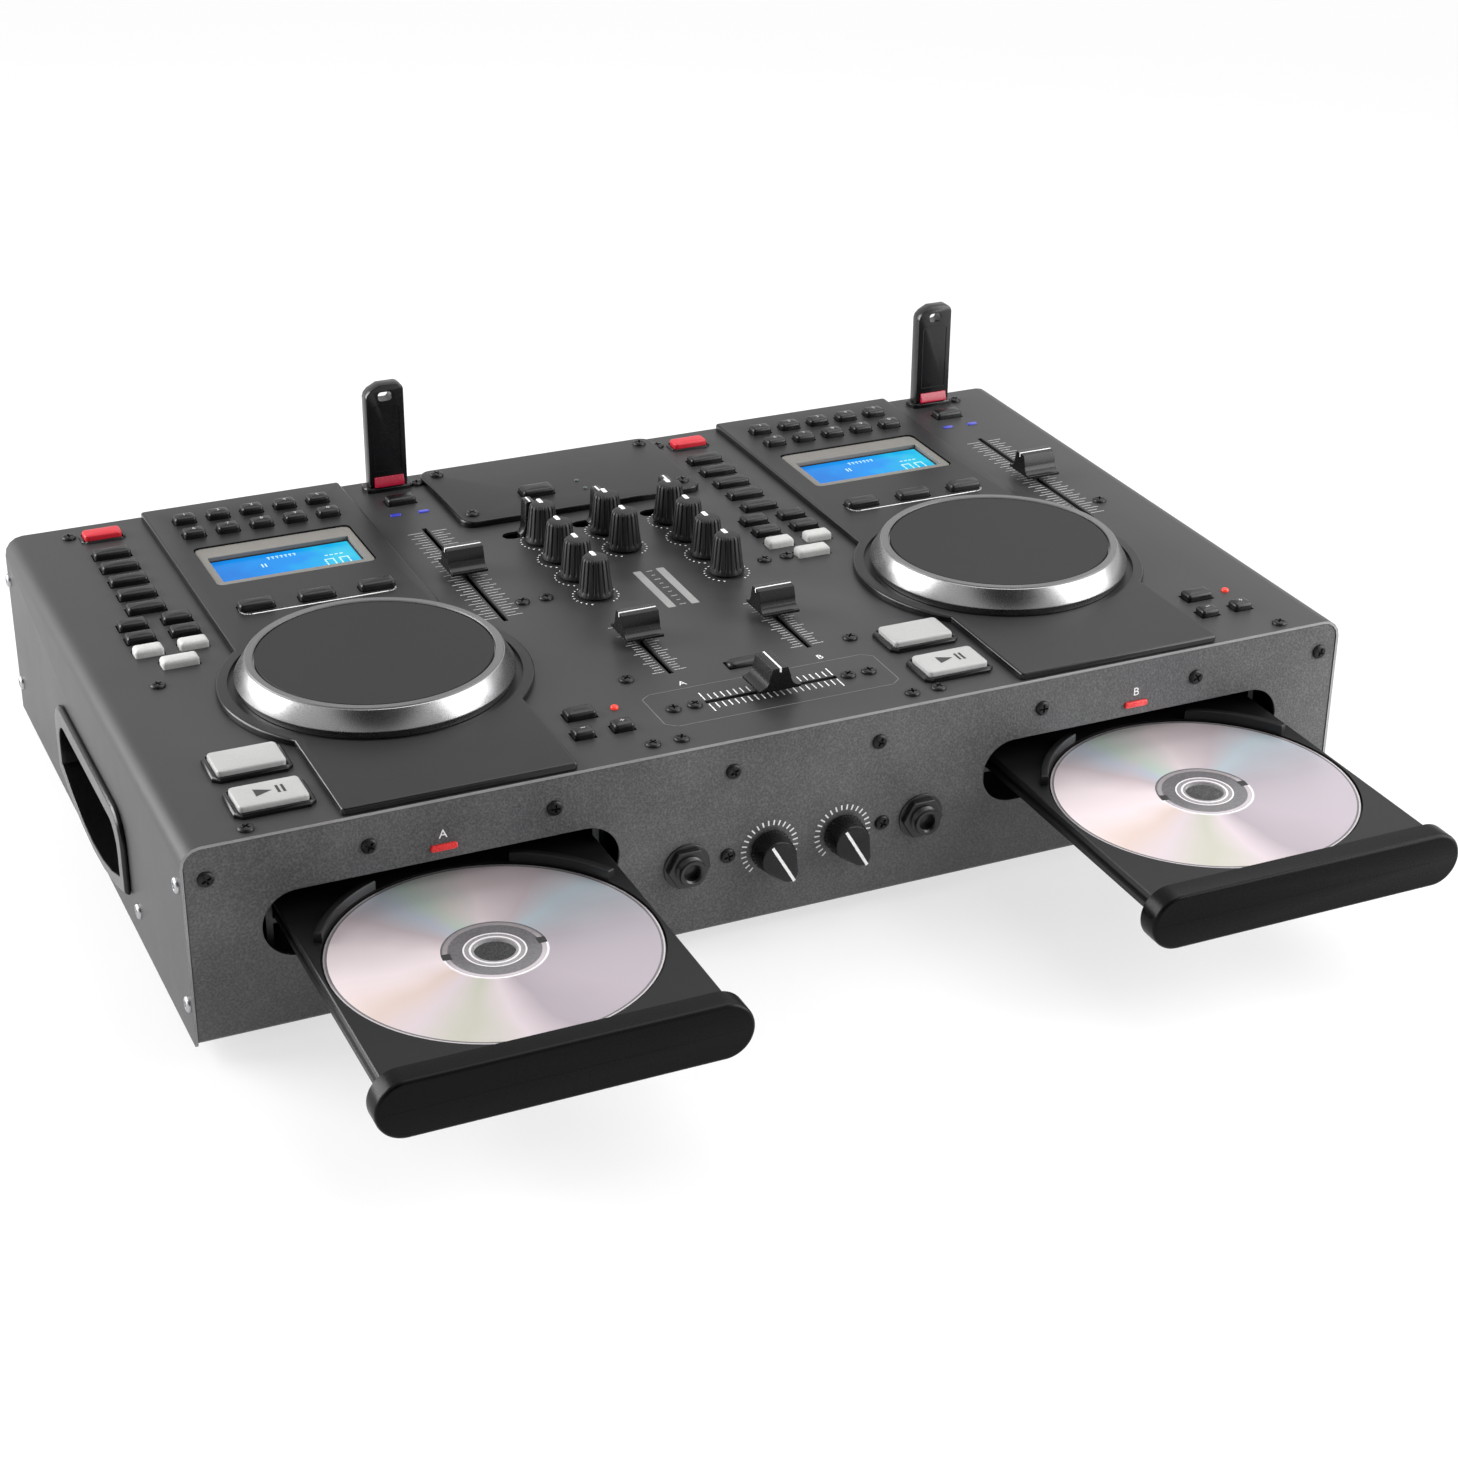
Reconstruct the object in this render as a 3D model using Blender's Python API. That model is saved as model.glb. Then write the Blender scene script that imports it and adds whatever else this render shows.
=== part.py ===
"""Two-deck disc player with a mixer between the decks, trays out and discs loaded.

Folded steel case: a base with front and rear panels, and a cover with its sides. Each deck has a
raised moulded plate with a jog wheel, a display and rubber keys, and a tray drive behind a slot
in the front panel. The case is as large as the decks, the mixer and their margins make it.
Metres, +Z up, front towards -Y, origin under the middle of the whole object.
"""

import math

import bmesh
import bpy
from mathutils import Vector

# Case of folded sheet, on four feet
CASE_H = 0.0814
SHEET = 0.0012
BEND_R = 0.008
BEND_PROFILE_SHARE = 0.5
FLOOR_BEND_R = 0.0025
FOOT_H = 0.007
FOOT_R = 0.010
FOOT_INSET = 0.023
END_MARGIN = 0.0395
GAP = 0.0003
OVERRUN = 0.002
EDGE = 0.0006

# Disc
DISC_R = 0.060
DISC_HOLE_R = 0.0075
DISC_T = 0.0012

# Trays, fascias and their slots, from the disc outwards
POCKET_PLAY = 0.0008
POCKET_DEPTH = 0.002
POCKET_LIP = 0.0027
TRAY_SIDE = 0.0012
TRAY_BACK = 0.0417
TRAY_DROP = 0.0336
TRAY_OVERSHOOT = 0.006
TRAY_PLATE_T = 0.0036
RAIL_H = 0.0078
RAIL_T = 0.0046
RAIL_GROOVE = 0.0014
HUB_OPENING_R = 0.017
SLED_OPENING_W = 0.024
SLED_OPENING_LEN = 0.05
GUIDE_T = 0.003
GUIDE_H = 0.004
GUIDE_FROM = math.radians(27)
GUIDE_TO = math.radians(65)
SLOT_SHIFT = 0.0082
SLOT_SIDE = 0.0071
SLOT_H = 0.0273
SLOT_BELOW_TRAY = 0.0052
FASCIA_PLAY_W = 0.0026
FASCIA_PLAY_H = 0.0050
FASCIA_DROP = 0.0014
FASCIA_T = 0.0095
FASCIA_EDGE = 0.0016

# Drive behind each slot
DRIVE_WALL = 0.0025
DRIVE_SIDE_PLAY = 0.0005
DRIVE_ROOF_CLEAR = 0.0032
DRIVE_ROOF = 0.0018
DRIVE_FLOOR_T = 0.002
TRAY_STOP = 0.002
SPINDLE_R = 0.0135
SPINDLE_CONE_R = 0.0068
SPINDLE_DROP = 0.0012
DRIVE_VENT_W = 0.090
DRIVE_VENT_LEN = 0.060
DRIVE_VENT_R = 0.009

# Jog wheels, and the round shoulders and wells that they stand in
JOG_R = 0.0548
JOG_FLANK = 0.0043
JOG_SKIRT_IN = 0.0013
JOG_SKIRT_TOP = 0.0060
JOG_LIP_H = 0.0008
JOG_RISE = 0.0129
JOG_WALL = 0.0020
JOG_RIM_W = 0.0022
JOG_RIM_SLOPE = 0.0006
JOG_POST_R = 0.005
JOG_HUB_WALL = 0.0032
JOG_WEB_T = 0.0016
JOG_MARGIN = 0.0399
PAD_T = 0.0016
WELL_PLAY = 0.0027
WELL_FLOOR = 0.0012
BULGE_WALL = 0.0045

# Display module under the window
DISPLAY_DROP = 0.0006
DISPLAY_DEPTH = 0.012
LCD_W = 0.062
LCD_D = 0.0265
LCD_DROP = 0.0025
LCD_SIDE = 0.0038
LCD_BEFORE = 0.0045
LCD_BEHIND = 0.0110
WINDOW_R = 0.003

# Rubber keys on the deck plates, from the jog wheel to the rear edge
KEY_D = 0.0068
NUMBER_W = 0.0096
NUMBER_PITCH = 0.01505
NUMBER_COUNT = 5
NUMBER_ROW_STEP = 0.0165
NUMBER_MARGIN = 0.0161
NUMBER_GAP = 0.0106
WINDOW_GAP = 0.0229
LOOP_W = 0.0150
LOOP_PITCH = 0.0258
LOOP_GAP = 0.0134

# Deck plates
PLATE_SIDE = 0.0104
PLATE_T = 0.003
PLATE_SET_BACK = 0.001
PLATE_EDGE = 0.0009
PLATE_CORNER = 0.0015
UNDER_PLATE_LIP = 0.0038
UNDER_PLATE_PLAY = 0.0043

# Rubber mats under the panels, with the keys that stand up through them
MAT_T = 0.001
MAT_MARGIN = 0.0015
MAT_CLEAR = 0.0006
KEY_CLEAR = 0.0004
KEY_EDGE = 0.0009
KEY_RISE = 0.0034

# Columns of keys either side of each deck plate
COLUMN_CLEAR = 0.0037
BEZEL_CLEAR = 0.0030
FUNCTION_SHIFT = 0.0008
LONG_W = 0.0158
LONG_D = 0.0072
LONG_MARGIN = 0.0367
LONG_PITCH = 0.0151
LONG_COUNT = 5
PAIR_STEP = 0.0144
PAIR_SPREAD = 0.0182
PAIR_W = 0.0118
PAIR_PITCH = 0.0132
PAIR_COUNT = 3
SYNC_W = 0.0150
SYNC_STEP = 0.0140
BEND_MARGIN = 0.0258
BEND_KEY_W = 0.0084
BEND_KEY_D = 0.0066
BEND_MINUS_IN = 0.0089
BEND_PLUS_OUT = 0.0071
PITCH_KEY_STEP = 0.0158
PITCH_KEY_W = 0.0122
PITCH_KEY_IN = 0.0041
SOURCE_W = 0.0132
SOURCE_MARGIN = 0.0283

# Hard keys with their bezels
PLAY_MARGIN = 0.0230
CUE_STEP = 0.0295
START_W = 0.0262
START_D = 0.0166
START_RISE = 0.0042
START_BEZEL = 0.0022
START_BEZEL_H = 0.0020
EJECT_MARGIN = 0.0155
EJECT_W = 0.0163
EJECT_D = 0.0080
EJECT_RISE = 0.0034
EJECT_BEZEL = 0.0015
EJECT_BEZEL_H = 0.0010
HARD_KEY_R = 0.0015

# Stick memories in their sockets
STICK_MARGIN = 0.0095
STICK_W = 0.0178
STICK_T = 0.0068
STICK_H = 0.0480
STICK_TOP_R = 0.0035
STICK_SLANT = 0.0070
STICK_LOOP_W = 0.0064
STICK_LOOP_H = 0.0042
STICK_LOOP_R = 0.0014
STICK_LOOP_DOWN = 0.0034
PLUG_W = 0.0120
PLUG_T = 0.0045
PLUG_LEN = 0.0118
SOCKET_SIDE_RIM = 0.0052
SOCKET_RIM = 0.0026
SOCKET_RIM_H = 0.0022
SOCKET_DEPTH = 0.0150
SOCKET_WALL = 0.0012

# Faders: a cap with swept flanks, carried over the panel by a blade that runs in a slot
CAP_LEN = 0.0180
CAP_W = 0.0160
CAP_FLOAT = 0.0032
CAP_RISE = 0.0128
CAP_TOP_LEN = 0.0068
CAP_NECK_LEN = 0.0092
CAP_LIP = 0.0012
CAP_SWEEP_R = 0.0042
BLADE_W = 0.0012
BLADE_LEN = 0.0050
BLADE_END_PLAY = 0.0008
FADER_SLOT_W = 0.0022
TRACK_W = 0.0090
TRACK_DROP = 0.0076
TRACK_END = 0.0015
PITCH_MARGIN = 0.0610
PITCH_THROW = 0.098
CHANNEL_X = 0.0302
CHANNEL_MARGIN = 0.0617
CHANNEL_THROW = 0.045
CHANNEL_REST = 0.0093
CROSS_MARGIN = 0.0332
CROSS_THROW = 0.050

# Mixer: cover plate at the rear, then the switches, the knobs and the fader key
MIXER_PLATE_W = 0.114
MIXER_PLATE_D = 0.0655
MIXER_PLATE_MARGIN = 0.0040
MIXER_PLATE_R = 0.006
MIXER_MARGIN = 0.0161
MIXER_KEY_X = -0.0155
MIXER_KEY_STEP = 0.0210
MIXER_KEY_W = 0.0150
MIXER_KEY_D = 0.0090
SWITCH_GAP = 0.0140
SWITCH_PITCH = 0.0325
SWITCH_OPENING_D = 0.0073
SWITCH_FOOT_LEN = 0.0098
SWITCH_NECK_LEN = 0.0052
SWITCH_TOP_LEN = 0.0042
SWITCH_PLAY = 0.0003
SWITCH_FOOT_R = 0.0030
SWITCH_TOP_R = 0.0008
SWITCH_FOOT_H = 0.0010
SWITCH_NECK_H = 0.0045
SWITCH_H = 0.0158
SWITCH_THROW = 0.0130
SWITCH_END_PLAY = 0.0008
KNOB_ROW_STEP = 0.0110
KNOB_R = 0.0076
KNOB_TOP_R = 0.0052
KNOB_H = 0.0170
KNOB_FLOAT = 0.0008
FLUTE_COUNT = 8
KNOB_FLUTE = 0.0005
KNOB_SKIRT_H = 0.0022
KNOB_CROWN_H = 0.0010
KNOB_SHAFT_R = 0.0030
KNOB_COLUMN = 0.0300
KNOB_ROW_PITCH = 0.0206
SIDE_KNOB_COUNT = 4
MIDDLE_KNOB_COUNT = 2
POT_W = 0.0104
POT_DROP = 0.0116
FADER_KEY_MARGIN = 0.0590
FADER_KEY_W = 0.0150
FADER_KEY_D = 0.0066
FADER_KEY_RISE = 0.0020

# Front panel controls
FRONT_ROW_DROP = 0.0506
JACK_X = 0.0504
JACK_NUT_R = 0.0088
JACK_NUT_T = 0.0034
JACK_BUSH_R = 0.0058
JACK_BUSH_OUT = 0.0070
JACK_BORE_R = 0.0033
JACK_BODY_W = 0.0150
JACK_BODY_LEN = 0.0240
JACK_BORE_END = 0.0200
FRONT_KNOB_X = 0.0157
FRONT_KNOB_R = 0.0084
FRONT_KNOB_H = 0.0105
FRONT_KNOB_TIP = 0.0098
FRONT_KNOB_TIP_R = 0.0042
FRONT_KNOB_TAPER_SHARE = 0.88
FRONT_KNOB_AIM = math.radians(150)
FRONT_KNOB_SHAFT_LEN = 0.008

# Carrying handles let into the sides: a cup with a bowed lower edge, and a frame round it
GRIP_Y = -0.0007
GRIP_LOW = 0.0086
GRIP_W = 0.1013
GRIP_H = 0.0318
GRIP_BOW = 0.0107
GRIP_R = 0.0105
GRIP_DEPTH = 0.0170
GRIP_WALL = 0.0015
FRAME_SIDE = 0.0076
FRAME_ABOVE = 0.0077
FRAME_BELOW = 0.0043
FRAME_R = 0.0135
FRAME_T = 0.0022
FRAME_EDGE = 0.0010

# Board with the sockets that show at the rear
BOARD_EDGE = 0.0014
BOARD_FRONT_MARGIN = 0.0225
BOARD_BACK_MARGIN = 0.0065
BOARD_DROP = 0.0216
BOARD_T = 0.0016
POST_R = 0.0030
POST_INSET = 0.0080
POST_BACK_INSET = 0.0320
PHONO_R = 0.0041
PHONO_BORE_R = 0.0017
PHONO_BORE_DEPTH = 0.006
PHONO_OUT = 0.0080
PHONO_PITCH = 0.0140
PHONO_COUNT = 6
PHONO_FROM_MIDDLE = 0.0560
PHONO_BLOCK_D = 0.0090
PHONO_BLOCK_H = 0.0130
INLET_X = 0.0480
INLET_W = 0.0270
INLET_H = 0.0195
INLET_DROP = 0.0386
INLET_LEN = 0.0260
INLET_ROOM_W = 0.0224
INLET_ROOM_H = 0.0150
INLET_ROOM_DEPTH = 0.0160
INLET_CORNER = 0.0040
INLET_NECK_LEN = 0.0212

# Counts of facets, not lengths
BEND_STEPS = 4
CORNER_STEPS = 2
ROUND_STEPS = 10
SMALL_ROUND_STEPS = 8
WHEEL_STEPS = 30
DISC_STEPS = 32
END_STEPS = 6
SWEEP_STEPS = 3
BOW_STEPS = 6

# Sizes that follow from those above
POCKET_R = DISC_R + POCKET_PLAY
TRAY_W = 2 * (POCKET_R + TRAY_SIDE)
TRAY_LEN = POCKET_LIP + 2 * POCKET_R + TRAY_BACK
TRAY_OUT = 2 * DISC_R + TRAY_OVERSHOOT
SLOT_W = TRAY_W + 2 * SLOT_SIDE
FASCIA_W = SLOT_W - FASCIA_PLAY_W
FASCIA_H = SLOT_H - FASCIA_PLAY_H
WELL_R = JOG_R + WELL_PLAY
BULGE_R = WELL_R + BULGE_WALL
WINDOW_W = LCD_W + 2 * LCD_SIDE
WINDOW_D = LCD_BEFORE + LCD_D + LCD_BEHIND
NUMBERS_W = (NUMBER_COUNT - 1) * NUMBER_PITCH + NUMBER_W
PLATE_W = NUMBERS_W + 2 * PLATE_SIDE
UNDER_PLATE_W = PLATE_W - 2 * UNDER_PLATE_LIP
COLUMN_OUT = max(
    BULGE_R + COLUMN_CLEAR, PLATE_W / 2 + BEZEL_CLEAR + START_BEZEL + START_W / 2
)
DECK_X = MIXER_PLATE_W / 2 + MIXER_MARGIN + COLUMN_OUT
SLOT_X = DECK_X + SLOT_SHIFT
DRIVE_CLEAR = TRAY_W / 2 + DRIVE_SIDE_PLAY
DRIVE_HALF_W = DRIVE_CLEAR + DRIVE_WALL
BOARD_W = 2 * (DECK_X + COLUMN_OUT + BOARD_EDGE) + TRACK_W
CASE_W = 2 * (DECK_X + COLUMN_OUT + END_MARGIN)
JOG_ROOM = JOG_MARGIN + 2 * BULGE_R
KEYS_ROOM = LOOP_GAP + KEY_D + WINDOW_GAP + WINDOW_D + NUMBER_GAP + NUMBER_ROW_STEP + KEY_D
CASE_D = JOG_ROOM + KEYS_ROOM + NUMBER_MARGIN
FRONT = -CASE_D / 2
BACK = CASE_D / 2
TOP = FOOT_H + CASE_H
UNDERSIDE = TOP - SHEET
FLOOR = FOOT_H + SHEET
JOG_Y = FRONT + JOG_MARGIN + BULGE_R
LOOP_Y = JOG_Y + BULGE_R + LOOP_GAP + KEY_D / 2
WINDOW_FRONT = LOOP_Y + KEY_D / 2 + WINDOW_GAP
WINDOW_Y = WINDOW_FRONT + WINDOW_D / 2
NUMBER_BACK_Y = BACK - NUMBER_MARGIN - KEY_D / 2
UNDER_PLATE_FRONT = LOOP_Y - KEY_D / 2 - MAT_MARGIN - UNDER_PLATE_PLAY
UNDER_PLATE_BACK = NUMBER_BACK_Y + KEY_D / 2 + MAT_MARGIN + UNDER_PLATE_PLAY
PAIR_Y = BACK - LONG_MARGIN - (LONG_COUNT - 1) * LONG_PITCH - PAIR_STEP
SYNC_Y = PAIR_Y - (PAIR_COUNT - 1) * PAIR_PITCH - SYNC_STEP
STICK_Y = BACK - STICK_MARGIN
MIXER_PLATE_Y = BACK - MIXER_PLATE_MARGIN - MIXER_PLATE_D / 2
MIXER_PLATE_FRONT = MIXER_PLATE_Y - MIXER_PLATE_D / 2
MIXER_KEY_Y = MIXER_PLATE_FRONT + MIXER_KEY_STEP
SWITCH_Y = MIXER_PLATE_FRONT - SWITCH_GAP
KNOB_Y = SWITCH_Y - KNOB_ROW_STEP
FADER_KEY_Y = FRONT + FADER_KEY_MARGIN
CROSS_Y = FRONT + CROSS_MARGIN
FASCIA_FRONT = FRONT - TRAY_OUT
TRAY_FRONT = FASCIA_FRONT + FASCIA_T
DISC_Y = TRAY_FRONT + POCKET_LIP + POCKET_R
TRAY_Z = TOP - TRAY_DROP
SLOT_Z = TRAY_Z - SLOT_BELOW_TRAY
FRONT_ROW_Z = TOP - FRONT_ROW_DROP
BOARD_Z = TOP - BOARD_DROP
POT_TOP = TOP - POT_DROP
TRACK_TOP = TOP - TRACK_DROP
OBJECT_MIDDLE_Y = (FASCIA_FRONT + BACK + PHONO_OUT) / 2

COLOURS = {
    "case_paint": ((0.085, 0.086, 0.088), 0.55, 0.3),
    "plate_paint": ((0.045, 0.045, 0.048), 0.45, 0.1),
    "black_plastic": ((0.012, 0.012, 0.012), 0.4, 0.0),
    "black_rubber": ((0.010, 0.010, 0.010), 0.65, 0.0),
    "grey_keys": ((0.62, 0.62, 0.61), 0.45, 0.0),
    "red_key": ((0.58, 0.03, 0.04), 0.45, 0.0),
    "wheel_metal": ((0.38, 0.38, 0.39), 0.35, 0.8),
    "wheel_pad": ((0.060, 0.060, 0.062), 0.6, 0.0),
    "display": ((0.02, 0.33, 0.85), 0.3, 0.0),
    "disc_foil": ((0.74, 0.70, 0.72), 0.2, 0.9),
    "steel": ((0.45, 0.45, 0.44), 0.45, 0.9),
    "board": ((0.02, 0.11, 0.05), 0.6, 0.0),
}


def material(name):
    found = bpy.data.materials.get(name)
    if found:
        return found
    colour, roughness, metallic = COLOURS[name]
    made = bpy.data.materials.new(name)
    made.use_nodes = True
    shader = made.node_tree.nodes["Principled BSDF"]
    shader.inputs["Base Color"].default_value = (*colour, 1)
    shader.inputs["Roughness"].default_value = roughness
    shader.inputs["Metallic"].default_value = metallic
    return made


def arc(cx, cy, radius, start, end, steps):
    """Points on an arc from start to end, both included."""
    angles = (start + (end - start) * i / steps for i in range(steps + 1))
    return [(cx + radius * math.cos(a), cy + radius * math.sin(a)) for a in angles]


def circle(cx, cy, radius, steps=ROUND_STEPS):
    return arc(cx, cy, radius, 0, 2 * math.pi * (1 - 1 / steps), steps - 1)


def rounded_rectangle(cx, cy, width, depth, radius, steps=CORNER_STEPS):
    """A rectangle about (cx, cy) with an arc in each corner, counterclockwise."""
    points = []
    for turn, (sx, sy) in enumerate(((1, 1), (-1, 1), (-1, -1), (1, -1))):
        x = cx + sx * (width / 2 - radius)
        y = cy + sy * (depth / 2 - radius)
        points += arc(x, y, radius, turn * math.pi / 2, (turn + 1) * math.pi / 2, steps)
    return points


def rectangle(cx, cy, width, depth):
    x, y = width / 2, depth / 2
    return [(cx + x, cy + y), (cx - x, cy + y), (cx - x, cy - y), (cx + x, cy - y)]


def stadium(cx, cy, width, height, steps=END_STEPS):
    """A slot with half-round ends, counterclockwise."""
    r = height / 2
    right = arc(cx + width / 2 - r, cy, r, -math.pi / 2, math.pi / 2, steps)
    left = arc(cx - width / 2 + r, cy, r, math.pi / 2, 3 * math.pi / 2, steps)
    return right + left


def inset(points, distance):
    """The counterclockwise outline moved inwards by a distance, corner by corner."""
    moved = []
    for i, point in enumerate(points):
        here = Vector(point)
        back = (here - Vector(points[i - 1])).normalized()
        ahead = (Vector(points[(i + 1) % len(points)]) - here).normalized()
        normal = (Vector((-back.y, back.x)) + Vector((-ahead.y, ahead.x))).normalized()
        stretch = normal.dot(Vector((-ahead.y, ahead.x)))
        moved.append(tuple(here + normal * (distance / stretch)))
    return moved


def add_loft(bm, rings):
    """Skins rings of equal length, counterclockwise and rising, and closes both ends."""
    loops = [[bm.verts.new(point) for point in ring] for ring in rings]
    for low, high in zip(loops, loops[1:]):
        for i in range(len(low)):
            j = (i + 1) % len(low)
            bm.faces.new((low[i], low[j], high[j], high[i]))
    bm.faces.new(list(reversed(loops[0])))
    bm.faces.new(loops[-1])


def upright(points, z):
    return [(x, y, z) for x, y in points]


def add_prism(bm, points, low, high, edge=0.0):
    """An outline raised along Z, with a chamfer round its top when edge is given."""
    rings = [upright(points, low)]
    if edge:
        rings += [upright(points, high - edge), upright(inset(points, edge), high)]
    else:
        rings.append(upright(points, high))
    add_loft(bm, rings)


def add_prism_y(bm, points, front, back, edge=0.0):
    """An outline of (x, z) run along Y from front to back, its front edge chamfered by edge."""
    rings = [[(x, back, z) for x, z in points]]
    if edge:
        rings.append([(x, front + edge, z) for x, z in points])
        rings.append([(x, front, z) for x, z in inset(points, edge)])
    else:
        rings.append([(x, front, z) for x, z in points])
    add_loft(bm, rings)


def add_prism_x(bm, points, left, right):
    """An outline of (y, z) run along X."""
    add_loft(bm, [[(left, y, z) for y, z in points], [(right, y, z) for y, z in points]])


def add_turned(bm, cx, cy, profile, steps):
    """A closed (radius, z) profile, counterclockwise in the half plane, turned about Z."""
    rings = []
    for i in range(steps):
        c, s = math.cos(2 * math.pi * i / steps), math.sin(2 * math.pi * i / steps)
        rings.append([bm.verts.new((cx + r * c, cy + r * s, z)) for r, z in profile])
    for i in range(steps):
        here, there = rings[i], rings[(i + 1) % steps]
        for j in range(len(profile)):
            k = (j + 1) % len(profile)
            bm.faces.new((here[j], there[j], there[k], here[k]))


def add_key(bm, x, y, width, depth, low, high):
    """A rubber key with an eased top edge."""
    add_prism(bm, rectangle(x, y, width, depth), low, high, KEY_EDGE)


def mesh_object(name, bm, origin=(0, 0, 0), smooth=True):
    """An object from a bmesh in case coordinates, with its own origin where it is asked."""
    bmesh.ops.recalc_face_normals(bm, faces=bm.faces)
    bmesh.ops.translate(bm, vec=-Vector(origin), verts=bm.verts)
    mesh = bpy.data.meshes.new(name)
    bm.to_mesh(mesh)
    bm.free()
    if smooth:
        mesh.shade_smooth()
        mesh.set_sharp_from_angle(angle=math.radians(30))
    made = bpy.data.objects.new(name, mesh)
    made.location = origin
    bpy.context.scene.collection.objects.link(made)
    made.parent = player
    return made


def part(name, colour, bm, origin=(0, 0, 0)):
    made = mesh_object(name, bm, origin)
    made.data.materials.append(material(colour))
    return made


def combine(target, operation, bm, label):
    """Cuts a helper shape out of a part, or joins it on, with a Boolean modifier."""
    helper = mesh_object(f"{target.name}_{label}", bm, smooth=False)
    helper.hide_render = True
    helper.display_type = "WIRE"
    helper.hide_set(True)
    modifier = target.modifiers.new(label, "BOOLEAN")
    modifier.operation = operation
    modifier.solver = "EXACT"
    modifier.use_self = True
    modifier.object = helper


def cut(target, bm, label="opening"):
    combine(target, "DIFFERENCE", bm, label)


def join(target, bm, label="raised"):
    combine(target, "UNION", bm, label)


def key_places(side):
    """The places and sizes of the function keys in one deck's column: (x, y, width, depth)."""
    x = side - COLUMN_OUT - FUNCTION_SHIFT
    places = []
    for i in range(LONG_COUNT):
        places.append((x, BACK - LONG_MARGIN - LONG_PITCH * i, LONG_W, LONG_D))
    for i in range(PAIR_COUNT):
        for way in (-1, 1):
            places.append((x + way * PAIR_SPREAD / 2, PAIR_Y - PAIR_PITCH * i, PAIR_W, LONG_D))
    places.append((x, SYNC_Y, SYNC_W, LONG_D))
    return places


def pitch_key_places(side):
    """The pitch key with the two bend keys in front of it."""
    x, y = side + COLUMN_OUT, FRONT + BEND_MARGIN
    return [
        (x - PITCH_KEY_IN, y + PITCH_KEY_STEP, PITCH_KEY_W, LONG_D),
        (x - BEND_MINUS_IN, y, BEND_KEY_W, BEND_KEY_D),
        (x + BEND_PLUS_OUT, y, BEND_KEY_W, BEND_KEY_D),
    ]


def source_key_place(side):
    return side + COLUMN_OUT, BACK - SOURCE_MARGIN, SOURCE_W, LONG_D


def plate_key_places(side):
    """The number keys in two rows and the loop keys in one, on the deck plate."""
    places = []
    for row in range(2):
        for column in range(NUMBER_COUNT):
            x = side + (column - (NUMBER_COUNT - 1) / 2) * NUMBER_PITCH
            places.append((x, NUMBER_BACK_Y - NUMBER_ROW_STEP * row, NUMBER_W, KEY_D))
    return places + [(side + i * LOOP_PITCH, LOOP_Y, LOOP_W, KEY_D) for i in (-1, 0, 1)]


def knob_places():
    places = []
    for column, rows in ((-1, SIDE_KNOB_COUNT), (0, MIDDLE_KNOB_COUNT), (1, SIDE_KNOB_COUNT)):
        for row in range(rows):
            places.append((column * KNOB_COLUMN, KNOB_Y - KNOB_ROW_PITCH * row))
    return places


def switch_places():
    return [(column * SWITCH_PITCH, SWITCH_Y) for column in (-1, 0, 1)]


def switch_opening_length():
    return SWITCH_THROW + SWITCH_FOOT_LEN + 2 * SWITCH_END_PLAY


def hard_key_places(side):
    """The three hard keys of a deck: (name, x, y, width, depth, rise, bezel, bezel height)."""
    x, play_y = side - COLUMN_OUT, FRONT + PLAY_MARGIN
    start = (START_W, START_D, START_RISE, START_BEZEL, START_BEZEL_H)
    eject = (EJECT_W, EJECT_D, EJECT_RISE, EJECT_BEZEL, EJECT_BEZEL_H)
    return [
        ("cue_key", x, play_y + CUE_STEP, *start),
        ("play_key", x, play_y, *start),
        ("eject_key", x, BACK - EJECT_MARGIN, *eject),
    ]


def slot_length(throw, blade):
    return throw + blade + 2 * BLADE_END_PLAY


def channel_slot_middle():
    return FRONT + CHANNEL_MARGIN + slot_length(CHANNEL_THROW, BLADE_LEN) / 2


def pitch_slot_middle():
    return BACK - PITCH_MARGIN - slot_length(PITCH_THROW, BLADE_LEN) / 2


def key_hole(bm, x, y, width, depth, low, high):
    add_prism(bm, rectangle(x, y, width + 2 * KEY_CLEAR, depth + 2 * KEY_CLEAR), low, high)


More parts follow.
